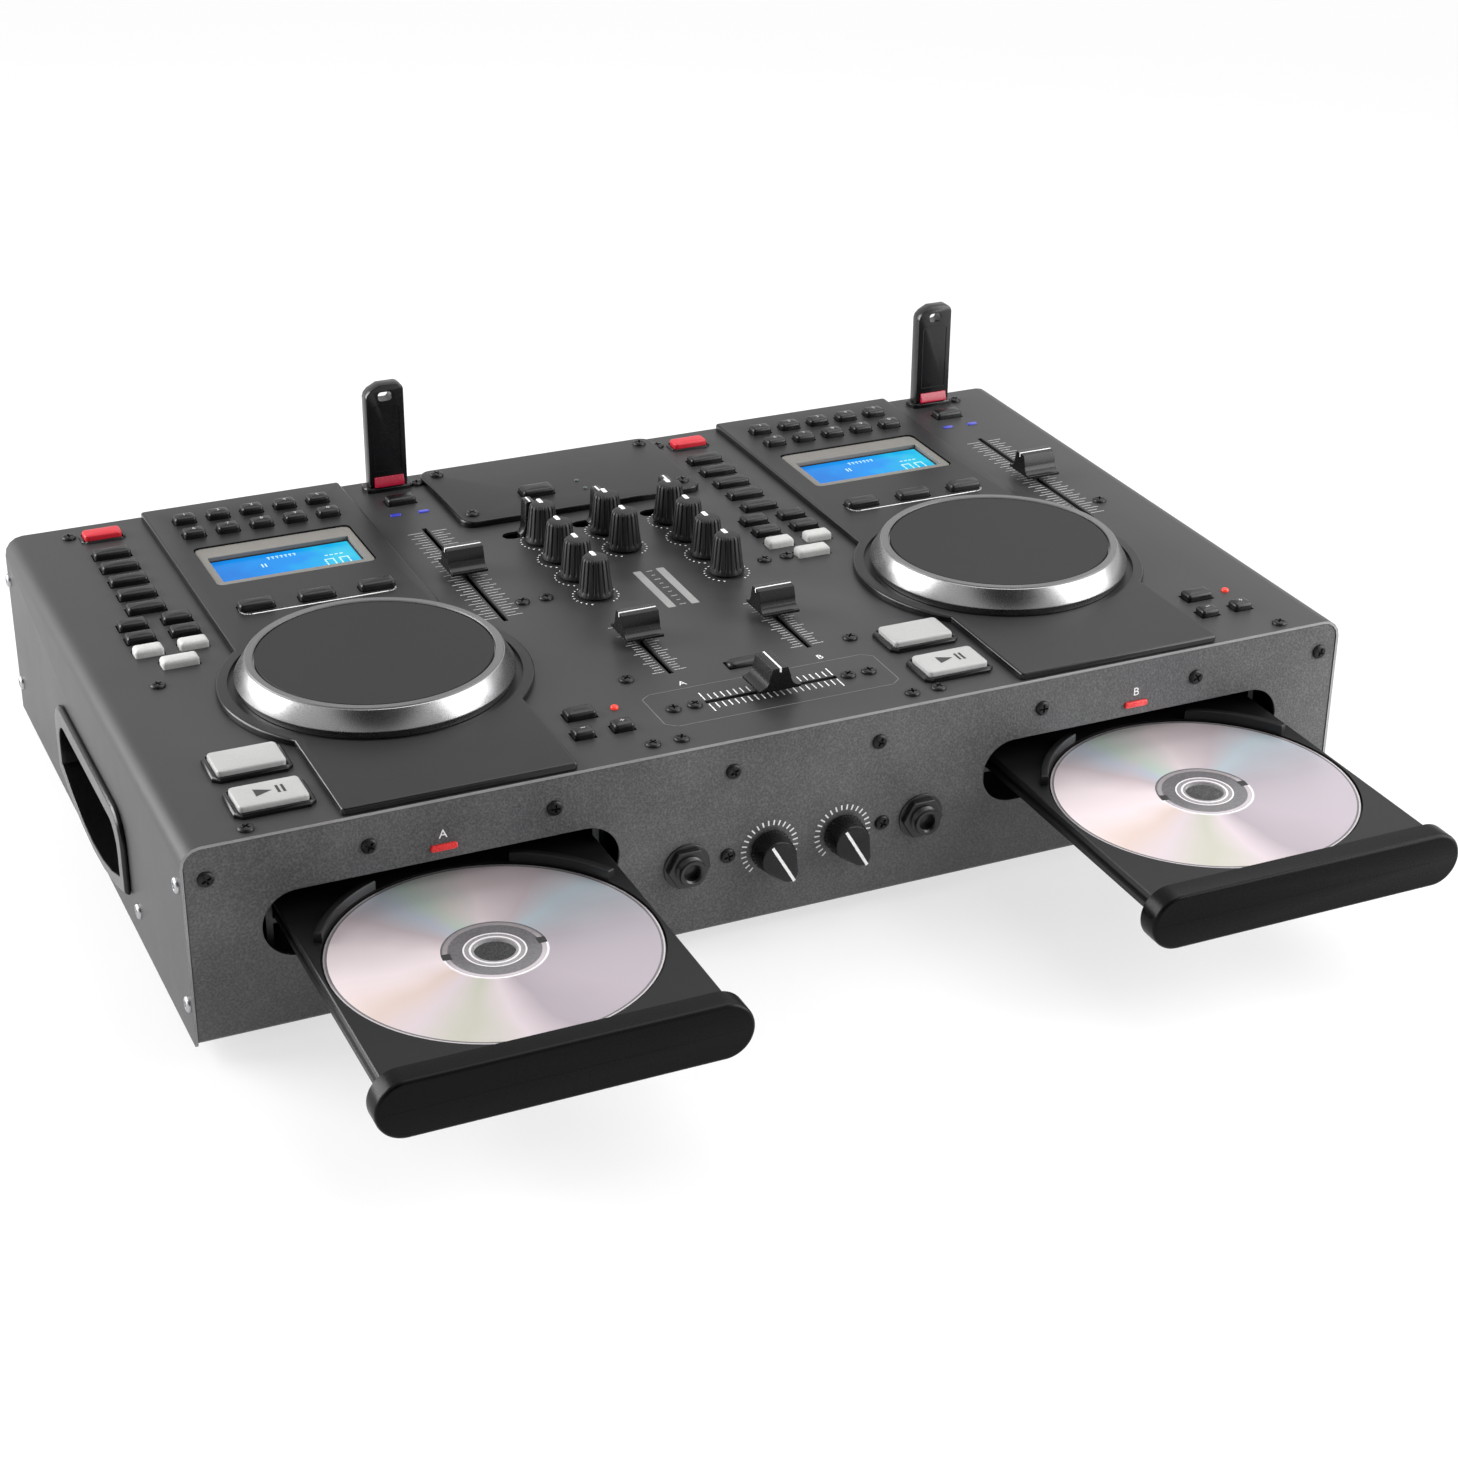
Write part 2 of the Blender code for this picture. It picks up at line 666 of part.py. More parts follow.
def make_base():
    """Floor, front panel and rear panel folded from one sheet, with four feet under it."""
    half = CASE_W / 2 - SHEET - GAP
    high = UNDERSIDE - GAP
    front, back = FRONT + GAP, BACK - GAP
    r, inner = FLOOR_BEND_R, FLOOR_BEND_R - SHEET
    outline = [(front, high)]
    outline += arc(front + r, FOOT_H + r, r, math.pi, 3 * math.pi / 2, CORNER_STEPS)
    outline += arc(back - r, FOOT_H + r, r, -math.pi / 2, 0, CORNER_STEPS)
    outline += [(back, high), (back - SHEET, high)]
    outline += arc(back - r, FOOT_H + r, inner, 0, -math.pi / 2, CORNER_STEPS)
    outline += arc(front + r, FOOT_H + r, inner, 3 * math.pi / 2, math.pi, CORNER_STEPS)
    outline.append((front + SHEET, high))
    bm = bmesh.new()
    add_prism_x(bm, outline, -half, half)
    corner = BEND_R - SHEET - GAP
    bm.edges.ensure_lookup_table()
    tips = [
        edge for edge in bm.edges
        if all(high - v.co.z < EDGE for v in edge.verts)
        and abs(sum(v.co.x for v in edge.verts)) > CASE_W / 2
    ]
    bmesh.ops.bevel(
        bm, geom=tips, offset=corner, segments=BEND_STEPS, affect="EDGES",
        profile=BEND_PROFILE_SHARE,
    )
    base = part("base_chassis", "case_paint", bm)

    holes = bmesh.new()
    low, far = front - OVERRUN, front + SHEET + OVERRUN
    for way in (-1, 1):
        add_prism_y(holes, stadium(way * SLOT_X, SLOT_Z, SLOT_W, SLOT_H), low, far)
        jack = circle(way * JACK_X, FRONT_ROW_Z, JACK_BUSH_R + GAP)
        add_prism_y(holes, jack, low, far)
        shaft = circle(way * FRONT_KNOB_X, FRONT_ROW_Z, KNOB_SHAFT_R + GAP)
        add_prism_y(holes, shaft, low, far)
    low, far = back - SHEET - OVERRUN, back + OVERRUN
    for x in phono_places():
        add_prism_y(holes, circle(x, phono_z(), PHONO_R + GAP, SMALL_ROUND_STEPS), low, far)
    inlet = rectangle(INLET_X, TOP - INLET_DROP, INLET_W + 2 * GAP, INLET_H + 2 * GAP)
    add_prism_y(holes, inlet, low, far)
    cut(base, holes)

    feet = bmesh.new()
    for way in (-1, 1):
        for end in (-1, 1):
            x, y = way * (CASE_W / 2 - FOOT_INSET), end * (CASE_D / 2 - FOOT_INSET)
            rings = [
                upright(circle(x, y, FOOT_R - EDGE), 0),
                upright(circle(x, y, FOOT_R), EDGE),
                upright(circle(x, y, FOOT_R), FOOT_H + SHEET / 2),
            ]
            add_loft(feet, rings)
    join(base, feet)


def make_cover():
    """Top and sides bent from one sheet, with the holes for every control and their bezels."""
    r, inner, half = BEND_R, BEND_R - SHEET, CASE_W / 2
    outline = [(half, FOOT_H)]
    outline += arc(half - r, TOP - r, r, 0, math.pi / 2, BEND_STEPS)
    outline += arc(-half + r, TOP - r, r, math.pi / 2, math.pi, BEND_STEPS)
    outline += [(-half, FOOT_H), (-half + SHEET, FOOT_H)]
    outline += arc(-half + r, TOP - r, inner, math.pi, math.pi / 2, BEND_STEPS)
    outline += arc(half - r, TOP - r, inner, math.pi / 2, 0, BEND_STEPS)
    outline.append((half - SHEET, FOOT_H))
    bm = bmesh.new()
    add_prism_y(bm, outline, FRONT, BACK)
    cover = part("top_cover", "case_paint", bm)

    rims = bmesh.new()
    sunk = TOP - SHEET / 2
    for side in (-DECK_X, DECK_X):
        for _, x, y, width, depth, _, bezel, height in hard_key_places(side):
            frame = rounded_rectangle(
                x, y, width + 2 * bezel, depth + 2 * bezel, HARD_KEY_R + bezel / 2, 1
            )
            add_prism(rims, frame, sunk, TOP + height, bezel / 3)
        x = side + COLUMN_OUT
        frame = rounded_rectangle(
            x, STICK_Y, PLUG_W + 2 * SOCKET_SIDE_RIM, PLUG_T + 2 * SOCKET_RIM, SOCKET_RIM
        )
        add_prism(rims, frame, sunk, TOP + SOCKET_RIM_H, EDGE)
        wall = 2 * (SOCKET_WALL + GAP)
        shell = rectangle(x, STICK_Y, PLUG_W + wall, PLUG_T + wall)
        add_prism(rims, shell, TOP - SOCKET_DEPTH, sunk)
    join(cover, rims)

    holes = bmesh.new()
    low, high = UNDERSIDE - OVERRUN, TOP + OVERRUN
    for side in (-DECK_X, DECK_X):
        x = side + COLUMN_OUT
        for place in key_places(side) + pitch_key_places(side):
            key_hole(holes, *place, low, high)
        key_hole(holes, *source_key_place(side), low, high)
        for _, key_x, key_y, width, depth, _, _, height in hard_key_places(side):
            key_hole(holes, key_x, key_y, width, depth, low, high + height)
        plug = rectangle(x, STICK_Y, PLUG_W + 2 * GAP, PLUG_T + 2 * GAP)
        add_prism(holes, plug, TOP - SOCKET_DEPTH + SOCKET_WALL, high + SOCKET_RIM_H)
        length = slot_length(PITCH_THROW, BLADE_LEN)
        add_prism(holes, rectangle(x, pitch_slot_middle(), FADER_SLOT_W, length), low, high)
        room = rectangle(
            side, (UNDER_PLATE_BACK + UNDER_PLATE_FRONT) / 2,
            UNDER_PLATE_W, UNDER_PLATE_BACK - UNDER_PLATE_FRONT,
        )
        add_prism(holes, room, low, high)
    for x, y in knob_places():
        shaft = circle(x, y, KNOB_SHAFT_R + KEY_CLEAR, SMALL_ROUND_STEPS)
        add_prism(holes, shaft, low, high)
    for x, y in switch_places():
        oval = stadium(x, y, switch_opening_length(), SWITCH_OPENING_D, CORNER_STEPS * 2)
        add_prism(holes, oval, low, high)
    for way in (-1, 1):
        length = slot_length(CHANNEL_THROW, BLADE_LEN)
        slot = rectangle(way * CHANNEL_X, channel_slot_middle(), FADER_SLOT_W, length)
        add_prism(holes, slot, low, high)
    slot = rectangle(0, CROSS_Y, slot_length(CROSS_THROW, BLADE_LEN), FADER_SLOT_W)
    add_prism(holes, slot, low, high)
    key_hole(holes, 0, FADER_KEY_Y, FADER_KEY_W, FADER_KEY_D, low, high)
    key_hole(holes, MIXER_KEY_X, MIXER_KEY_Y, MIXER_KEY_W, MIXER_KEY_D, low, high)
    for way in (-1, 1):
        mouth = inset(grip_outline(), -(GRIP_WALL + GAP))
        edge = way * CASE_W / 2
        add_prism_x(holes, mouth, edge - SHEET - OVERRUN, edge + SHEET + OVERRUN)
    cut(cover, holes)


def make_deck_plate(name, side):
    """Raised plate with round shoulders about the jog wheel, its well, post and openings."""
    half, reach = PLATE_W / 2, math.sqrt(BULGE_R**2 - (PLATE_W / 2) ** 2)
    swing = math.atan2(reach, half)
    front, back, c = FRONT + PLATE_SET_BACK, BACK - PLATE_SET_BACK, PLATE_CORNER
    outline = [(side - half, front + c), (side - half + c, front)]
    outline += [(side + half - c, front), (side + half, front + c)]
    outline += arc(side, JOG_Y, BULGE_R, -swing, swing, 2 * BEND_STEPS)
    outline += [(side + half, back - c), (side + half - c, back)]
    outline += [(side - half + c, back), (side - half, back - c)]
    outline += arc(side, JOG_Y, BULGE_R, math.pi - swing, math.pi + swing, 2 * BEND_STEPS)
    bm = bmesh.new()
    low, high = TOP + GAP, TOP + PLATE_T
    add_prism(bm, outline, low, high, PLATE_EDGE)
    plate = part(name, "plate_paint", bm)

    holes = bmesh.new()
    add_prism(holes, circle(side, JOG_Y, WELL_R, WHEEL_STEPS), low + WELL_FLOOR, high + OVERRUN)
    window = rounded_rectangle(
        side, WINDOW_Y, WINDOW_W, WINDOW_D, WINDOW_R
    )
    add_prism(holes, window, low - OVERRUN, high + OVERRUN)
    for place in plate_key_places(side):
        key_hole(holes, *place, low - OVERRUN, high + OVERRUN)
    cut(plate, holes)
    post = bmesh.new()
    post_top = TOP + JOG_RISE - PAD_T - GAP * 2
    add_prism(post, circle(side, JOG_Y, JOG_POST_R), low + WELL_FLOOR / 2, post_top, EDGE)
    join(plate, post)


def make_jog(suffix, side):
    """A spun metal wheel on the plate's post, with a matte pad let into its face."""
    top, lip = TOP + JOG_RISE, TOP + JOG_SKIRT_TOP
    skirt = JOG_R - JOG_SKIRT_IN
    rim = JOG_R - JOG_FLANK
    seat_r, seat = rim - JOG_RIM_W, top - PAD_T - GAP
    low = TOP + GAP + WELL_FLOOR + GAP
    web = seat - JOG_WEB_T
    bore, hub = JOG_POST_R + GAP, JOG_POST_R + GAP + JOG_HUB_WALL
    profile = [
        (skirt, low), (skirt, lip), (JOG_R, lip), (JOG_R, lip + JOG_LIP_H),
        (rim, top - JOG_RIM_SLOPE), (rim - JOG_RIM_SLOPE, top), (seat_r, top),
        (seat_r, seat), (bore, seat), (bore, low), (hub, web), (skirt - JOG_WALL, web),
        (skirt - JOG_WALL, low),
    ]
    bm = bmesh.new()
    add_turned(bm, side, JOG_Y, profile, WHEEL_STEPS)
    axis = (side, JOG_Y, TOP)
    part("jog_wheel_" + suffix, "wheel_metal", bm, axis)
    bm = bmesh.new()
    pad = circle(side, JOG_Y, seat_r - GAP, WHEEL_STEPS)
    add_prism(bm, pad, seat + GAP, top - GAP)
    part("jog_pad_" + suffix, "wheel_pad", bm, axis)


def make_display(name, side):
    """Display module: a frame under the window, sunk over the lit panel."""
    top = TOP + PLATE_T - DISPLAY_DROP
    bm = bmesh.new()
    frame = rounded_rectangle(side, WINDOW_Y, WINDOW_W - 2 * GAP, WINDOW_D - 2 * GAP, WINDOW_R)
    add_prism(bm, frame, top - DISPLAY_DEPTH, top)
    display = part(name, "display", bm)
    room = bmesh.new()
    lcd = rectangle(side, WINDOW_FRONT + LCD_BEFORE + LCD_D / 2, LCD_W, LCD_D)
    add_prism(room, lcd, top - LCD_DROP, top + OVERRUN)
    cut(display, room)


def make_keypad(name, places, ceiling, rise, half_width=None, window=None):
    """One moulded mat under a panel, with every key in places standing up through it."""
    left = min(x - w / 2 for x, _, w, _ in places) - MAT_MARGIN
    right = max(x + w / 2 for x, _, w, _ in places) + MAT_MARGIN
    front = min(y - d / 2 for _, y, _, d in places) - MAT_MARGIN
    back = max(y + d / 2 for _, y, _, d in places) + MAT_MARGIN
    middle = ((left + right) / 2, (front + back) / 2)
    width = 2 * half_width if half_width else right - left
    mat_top = ceiling - GAP
    bm = bmesh.new()
    add_prism(bm, rectangle(*middle, width, back - front), mat_top - MAT_T, mat_top)
    pad = part(name, "black_rubber", bm, (*middle, mat_top))
    keys = bmesh.new()
    for x, y, key_w, key_d in places:
        add_key(keys, x, y, key_w, key_d, mat_top - MAT_T / 2, rise)
    join(pad, keys, "keys")
    if window:
        hole = bmesh.new()
        add_prism(hole, rectangle(*window), mat_top - MAT_T - OVERRUN, mat_top + OVERRUN)
        cut(pad, hole)


def make_hard_keys(suffix, side):
    """The cue, play and eject caps, each held under the cover by its flange."""
    for name, x, y, width, depth, rise, _, _ in hard_key_places(side):
        flange = UNDERSIDE - GAP
        bm = bmesh.new()
        rim = 2 * MAT_MARGIN
        rings = [
            upright(rounded_rectangle(x, y, width + rim, depth + rim, HARD_KEY_R, 1), z)
            for z in (flange - MAT_T, flange)
        ]
        cap = rounded_rectangle(x, y, width, depth, HARD_KEY_R, 1)
        rings += [upright(cap, flange), upright(cap, TOP + rise - KEY_EDGE)]
        rings += [upright(inset(cap, KEY_EDGE), TOP + rise)]
        add_loft(bm, rings)
        colour = "red_key" if name == "eject_key" else "grey_keys"
        part(name + "_" + suffix, colour, bm, (x, y, flange))


def make_fader(name, x, y, along_y=True):
    """A cap whose flanks sweep out from a narrow flat top to a thin lip, on its blade."""
    low, high = TOP + CAP_FLOAT, TOP + CAP_RISE
    foot, neck, crown = CAP_LEN / 2, CAP_NECK_LEN / 2, CAP_TOP_LEN / 2
    r, lip = CAP_SWEEP_R, low + CAP_LIP
    sweep = arc(neck + r, lip + r, r, 3 * math.pi / 2, math.pi, SWEEP_STEPS)
    flank = [(foot, low), (foot, lip)] + sweep
    flank += [(crown + EDGE / 2, high - EDGE), (crown - EDGE / 2, high)]
    outline = flank + [(-u, z) for u, z in reversed(flank)]
    bm = bmesh.new()
    if along_y:
        add_prism_x(bm, [(y + u, z) for u, z in outline], x - CAP_W / 2, x + CAP_W / 2)
    else:
        add_prism_y(bm, [(x + u, z) for u, z in outline], y - CAP_W / 2, y + CAP_W / 2)
    cap = part(name, "black_plastic", bm, (x, y, TOP))
    blade = bmesh.new()
    size = (BLADE_W, BLADE_LEN) if along_y else (BLADE_LEN, BLADE_W)
    add_prism(blade, rectangle(x, y, *size), TRACK_TOP + GAP, lip)
    join(cap, blade, "blade")


def fluted(x, y, radius, depth):
    """A circle with flutes: every other point drawn in by depth."""
    count = 2 * FLUTE_COUNT
    return [
        (x + (radius - depth * (i % 2)) * math.cos(2 * math.pi * i / count),
         y + (radius - depth * (i % 2)) * math.sin(2 * math.pi * i / count))
        for i in range(count)
    ]


def make_knob(name, x, y):
    """A tall fluted cone with a plain skirt, on a shaft down to its pot."""
    low = TOP + KNOB_FLOAT
    high = low + KNOB_H
    waist = KNOB_R - KNOB_FLUTE
    rings = [
        upright(fluted(x, y, KNOB_SHAFT_R, 0), POT_TOP + GAP),
        upright(fluted(x, y, KNOB_SHAFT_R, 0), low),
        upright(fluted(x, y, KNOB_R, 0), low),
        upright(fluted(x, y, waist, KNOB_FLUTE), low + KNOB_SKIRT_H),
        upright(fluted(x, y, KNOB_TOP_R, KNOB_FLUTE), high - KNOB_CROWN_H),
        upright(fluted(x, y, KNOB_TOP_R - KNOB_CROWN_H, 0), high),
    ]
    bm = bmesh.new()
    add_loft(bm, rings)
    part(name, "black_plastic", bm, (x, y, TOP))


def make_switch(name, x, y):
    """A three-way slide lever: a round-ended foot in the opening, swept up to a narrow top."""
    depth, high = SWITCH_OPENING_D - 2 * SWITCH_PLAY, TOP + SWITCH_H
    foot = rounded_rectangle(x, y, SWITCH_FOOT_LEN, depth, SWITCH_FOOT_R)
    middle_len = (SWITCH_FOOT_LEN + SWITCH_NECK_LEN) / 2
    middle_r = (SWITCH_FOOT_R + SWITCH_TOP_R) / 2
    bend = rounded_rectangle(x, y, middle_len, depth, middle_r)
    neck = rounded_rectangle(x, y, SWITCH_NECK_LEN, depth, SWITCH_TOP_R)
    crown = rounded_rectangle(x, y, SWITCH_TOP_LEN, depth, SWITCH_TOP_R)
    rings = [
        upright(foot, TRACK_TOP + GAP), upright(foot, TOP + SWITCH_FOOT_H),
        upright(bend, TOP + (3 * SWITCH_FOOT_H + SWITCH_NECK_H) / 4),
        upright(neck, TOP + SWITCH_NECK_H), upright(crown, high - EDGE),
        upright(inset(crown, EDGE), high),
    ]
    bm = bmesh.new()
    add_loft(bm, rings)
    part(name, "black_plastic", bm, (x, y, TOP))


def teardrop(cx, cz, radius, reach, tip_radius, aim):
    """A circle drawn out to a smaller round tip, aimed clockwise from straight up."""
    lean = math.acos((radius - tip_radius) / reach)
    body = arc(0, 0, radius, lean, 2 * math.pi - lean, 2 * END_STEPS)
    tip = arc(reach, 0, tip_radius, -lean, lean, END_STEPS // 2)
    turn = math.pi / 2 - aim
    c, s = math.cos(turn), math.sin(turn)
    return [(cx + u * c - v * s, cz + u * s + v * c) for u, v in body + tip]


def make_front_knob(name, x):
    """A level knob on the front panel: round body with a drawn-out pointer."""
    z, foot = FRONT_ROW_Z, FRONT + GAP - KNOB_FLOAT
    outline = teardrop(
        x, z, FRONT_KNOB_R, FRONT_KNOB_TIP, FRONT_KNOB_TIP_R, FRONT_KNOB_AIM
    )
    share = FRONT_KNOB_TAPER_SHARE
    face = [(x + (u - x) * share, z + (v - z) * share) for u, v in outline]
    shaft = [
        (x + KNOB_SHAFT_R * (u - x) / math.hypot(u - x, v - z),
         z + KNOB_SHAFT_R * (v - z) / math.hypot(u - x, v - z))
        for u, v in outline
    ]
    rings = [(shaft, foot + FRONT_KNOB_SHAFT_LEN), (shaft, foot), (outline, foot)]
    rings += [(face, foot - FRONT_KNOB_H + EDGE), (inset(face, EDGE), foot - FRONT_KNOB_H)]
    bm = bmesh.new()
    add_loft(bm, [[(u, y, v) for u, v in ring] for ring, y in rings])
    part(name, "black_plastic", bm, (x, foot, z))


def make_jack(name, x):
    """A plug socket: hexagon nut and bush outside the panel, body inside, with its bore."""
    z, face = FRONT_ROW_Z, FRONT + GAP
    inside, bush_front = face + SHEET, face - JACK_BUSH_OUT
    bm = bmesh.new()
    add_prism_y(bm, circle(x, z, JACK_NUT_R, 6), FRONT - JACK_NUT_T, FRONT, EDGE)
    jack = part(name, "black_plastic", bm)
    bush = bmesh.new()
    add_prism_y(bush, circle(x, z, JACK_BUSH_R), bush_front, inside + JACK_NUT_T, EDGE)
    join(jack, bush, "bush")
    shell = bmesh.new()
    box = rectangle(x, z, JACK_BODY_W, JACK_BODY_W)
    add_prism_y(shell, box, inside + GAP, inside + GAP + JACK_BODY_LEN)
    join(jack, shell, "body")
    bore = bmesh.new()
    hole = circle(x, z, JACK_BORE_R)
    add_prism_y(bore, hole, bush_front - OVERRUN, inside + JACK_BORE_END)
    cut(jack, bore)


def bowed_panel(y, low, width, height, radius, bow):
    """Outline of (y, z) with a flat top, round upper corners and a lower edge bowed downwards."""
    half, high = width / 2, low + height
    bow_r = (half**2 + bow**2) / (2 * bow)
    reach = math.asin(half / bow_r)
    points = arc(y + half - radius, high - radius, radius, 0, math.pi / 2, 2 * CORNER_STEPS)
    points += arc(y - half + radius, high - radius, radius, math.pi / 2, math.pi, 2 * CORNER_STEPS)
    middle = 3 * math.pi / 2
    return points + arc(y, low + bow_r, bow_r, middle - reach, middle + reach, BOW_STEPS)


def grip_outline():
    return bowed_panel(GRIP_Y, FOOT_H + GRIP_LOW, GRIP_W, GRIP_H, GRIP_R, GRIP_BOW)


def make_handle(name, way):
    """A moulded finger cup in the side of the cover, with a raised frame round its mouth."""
    skin = CASE_W / 2
    outer = skin + GAP + FRAME_T
    frame = bowed_panel(
        GRIP_Y, FOOT_H + GRIP_LOW - FRAME_BELOW, GRIP_W + 2 * FRAME_SIDE,
        GRIP_H + FRAME_ABOVE + FRAME_BELOW, FRAME_R, GRIP_BOW,
    )
    rings = [(frame, skin + GAP), (frame, outer - FRAME_EDGE), (inset(frame, FRAME_EDGE), outer)]
    bm = bmesh.new()
    add_loft(bm, [[(way * x, y, v) for y, v in ring] for ring, x in rings])
    handle = part(name, "black_plastic", bm)
    cup = bmesh.new()
    ends = sorted((way * (skin + GAP + FRAME_T / 2), way * (skin - GRIP_DEPTH)))
    add_prism_x(cup, inset(grip_outline(), -GRIP_WALL), *ends)
    join(handle, cup, "cup")
    room = bmesh.new()
    ends = sorted((way * (outer + OVERRUN), way * (skin - GRIP_DEPTH + GRIP_WALL)))
    add_prism_x(room, grip_outline(), *ends)
    cut(handle, room)


def make_tray(suffix, side):
    """The loading tray: railed plate, disc pocket, guide walls behind it, and the fascia."""
    half, top, rail = TRAY_W / 2, TRAY_Z, RAIL_T
    low, under, groove = top - RAIL_H, top - TRAY_PLATE_T, RAIL_GROOVE
    mid = (low + top) / 2
    right = [
        (half - rail, under), (half - rail, low), (half, low), (half, mid - groove),
        (half - groove, mid - groove / 2), (half - groove, mid + groove / 2),
        (half, mid + groove), (half, top),
    ]
    outline = [(side + u, z) for u, z in right] + [(side - u, z) for u, z in reversed(right)]
    bm = bmesh.new()
    add_prism_y(bm, outline, TRAY_FRONT - FASCIA_T / 2, TRAY_FRONT + TRAY_LEN)
    tray = part("tray_" + suffix, "black_plastic", bm, (side, DISC_Y, top))

    face = bmesh.new()
    outline = stadium(side, SLOT_Z - FASCIA_DROP, FASCIA_W, FASCIA_H)
    add_prism_y(face, outline, FASCIA_FRONT, TRAY_FRONT, FASCIA_EDGE)
    join(tray, face, "fascia")

    pocket = bmesh.new()
    disc_room = circle(side, DISC_Y, POCKET_R, DISC_STEPS)
    add_prism(pocket, disc_room, top - POCKET_DEPTH, top + OVERRUN)
    cut(tray, pocket, "pocket")
    opening = bmesh.new()
    sled, sled_back = SLED_OPENING_W / 2, DISC_Y + SLED_OPENING_LEN
    lean = math.asin(sled / HUB_OPENING_R)
    start, end = math.pi / 2 + lean, 5 * math.pi / 2 - lean
    keyhole = arc(side, DISC_Y, HUB_OPENING_R, start, end, ROUND_STEPS)
    keyhole += [(side + sled, sled_back), (side - sled, sled_back)]
    add_prism(opening, keyhole, low - OVERRUN, top + OVERRUN)
    cut(tray, opening)

    guides = bmesh.new()
    inner = POCKET_R + GAP
    for start, end in ((GUIDE_FROM, GUIDE_TO), (math.pi - GUIDE_TO, math.pi - GUIDE_FROM)):
        wall = arc(side, DISC_Y, inner + GUIDE_T, start, end, BEND_STEPS)
        wall += arc(side, DISC_Y, inner, end, start, BEND_STEPS)
        add_prism(guides, wall, top - POCKET_DEPTH / 2, top + GUIDE_H, EDGE)
    join(tray, guides, "guides")


def make_disc(suffix, side):
    """A standard disc lying in the tray's pocket."""
    low = TRAY_Z - POCKET_DEPTH + GAP
    high = low + DISC_T
    profile = [(DISC_HOLE_R, low), (DISC_R, low), (DISC_R, high), (DISC_HOLE_R, high)]
    bm = bmesh.new()
    add_turned(bm, side, DISC_Y, profile, DISC_STEPS)
    part("disc_" + suffix, "disc_foil", bm, (side, DISC_Y, low))


def make_drive(name, side):
    """Drive housing: side plates down to the floor, a tunnel for the tray, and the spindle."""
    clear, half = DRIVE_CLEAR, DRIVE_HALF_W
    deck = TRAY_Z - RAIL_H - GAP
    roof = TRAY_Z + GUIDE_H + DRIVE_ROOF_CLEAR
    front = FRONT + FASCIA_T + SHEET + GAP
    stop = FRONT + FASCIA_T + TRAY_LEN + TRAY_STOP
    foot, under = FLOOR + GAP, deck - DRIVE_FLOOR_T
    outline = [
        (side - half, foot), (side - clear, foot), (side - clear, under), (side + clear, under),
        (side + clear, foot), (side + half, foot), (side + half, roof + DRIVE_ROOF),
        (side - half, roof + DRIVE_ROOF),
    ]
    bm = bmesh.new()
    add_prism_y(bm, outline, front, stop + DRIVE_WALL)
    drive = part(name, "steel", bm)
    room = bmesh.new()
    tunnel = rectangle(side, (deck + roof) / 2, 2 * clear, roof - deck)
    add_prism_y(room, tunnel, front - OVERRUN, stop)
    cut(drive, room, "tunnel")
    vent = bmesh.new()
    hole = rounded_rectangle(
        side, stop - DRIVE_VENT_LEN, DRIVE_VENT_W, DRIVE_VENT_LEN, DRIVE_VENT_R
    )
    add_prism(vent, hole, roof - OVERRUN, roof + DRIVE_ROOF + OVERRUN)
    cut(drive, vent, "roof_opening")
    spindle = bmesh.new()
    home, peak = DISC_Y + TRAY_OUT, TRAY_Z - TRAY_PLATE_T - SPINDLE_DROP
    step = (deck + peak) / 2
    rings = [
        upright(circle(side, home, SPINDLE_R), deck - DRIVE_FLOOR_T / 2),
        upright(circle(side, home, SPINDLE_R), step),
        upright(circle(side, home, SPINDLE_CONE_R), step),
        upright(circle(side, home, SPINDLE_CONE_R - EDGE), peak),
    ]
    add_loft(spindle, rings)
    join(drive, spindle, "spindle")


def make_stick(suffix, side):
    """A stick memory standing in its socket, with a loop hole and one slanted shoulder."""
    x, y = side + COLUMN_OUT, STICK_Y
    low = TOP + SOCKET_RIM_H + GAP
    high, half = low + STICK_H, STICK_W / 2
    r, slant = STICK_TOP_R, STICK_SLANT
    outline = [(x - half, low), (x + half, low)]
    outline += arc(x + half - r, high - r, r, 0, math.pi / 2, CORNER_STEPS)
    outline += [(x - half + slant, high), (x - half, high - slant)]
    bm = bmesh.new()
    add_prism_y(bm, outline, y - STICK_T / 2, y + STICK_T / 2, EDGE)
    stick = part("usb_stick_" + suffix, "black_plastic", bm, (x, y, low))
    plug = bmesh.new()
    add_prism(plug, rectangle(x, y, PLUG_W, PLUG_T), low - PLUG_LEN, low + EDGE)
    join(stick, plug, "plug")
    hole = bmesh.new()
    loop = rounded_rectangle(
        x, high - STICK_LOOP_DOWN - STICK_LOOP_H / 2, STICK_LOOP_W, STICK_LOOP_H,
        STICK_LOOP_R,
    )
    add_prism_y(hole, loop, y - STICK_T, y + STICK_T)
    cut(stick, hole)


def make_mixer_plate():
    """Raised cover plate behind the mixer's knobs."""
    outline = rounded_rectangle(0, MIXER_PLATE_Y, MIXER_PLATE_W, MIXER_PLATE_D, MIXER_PLATE_R)
    bm = bmesh.new()
    add_prism(bm, outline, TOP + GAP, TOP + PLATE_T, PLATE_EDGE)
    plate = part("mixer_plate", "plate_paint", bm)
    hole = bmesh.new()
    low, high = TOP - OVERRUN, TOP + PLATE_T + OVERRUN
    key_hole(hole, MIXER_KEY_X, MIXER_KEY_Y, MIXER_KEY_W, MIXER_KEY_D, low, high)
    cut(plate, hole)


def phono_places():
    return [i * PHONO_PITCH - PHONO_FROM_MIDDLE for i in range(PHONO_COUNT)]


def phono_z():
    return BOARD_Z + BOARD_T + PHONO_BLOCK_H / 2


def add_block(bm, x, y, width, depth, low, high):
    add_prism(bm, rectangle(x, y, width, depth), low, high)


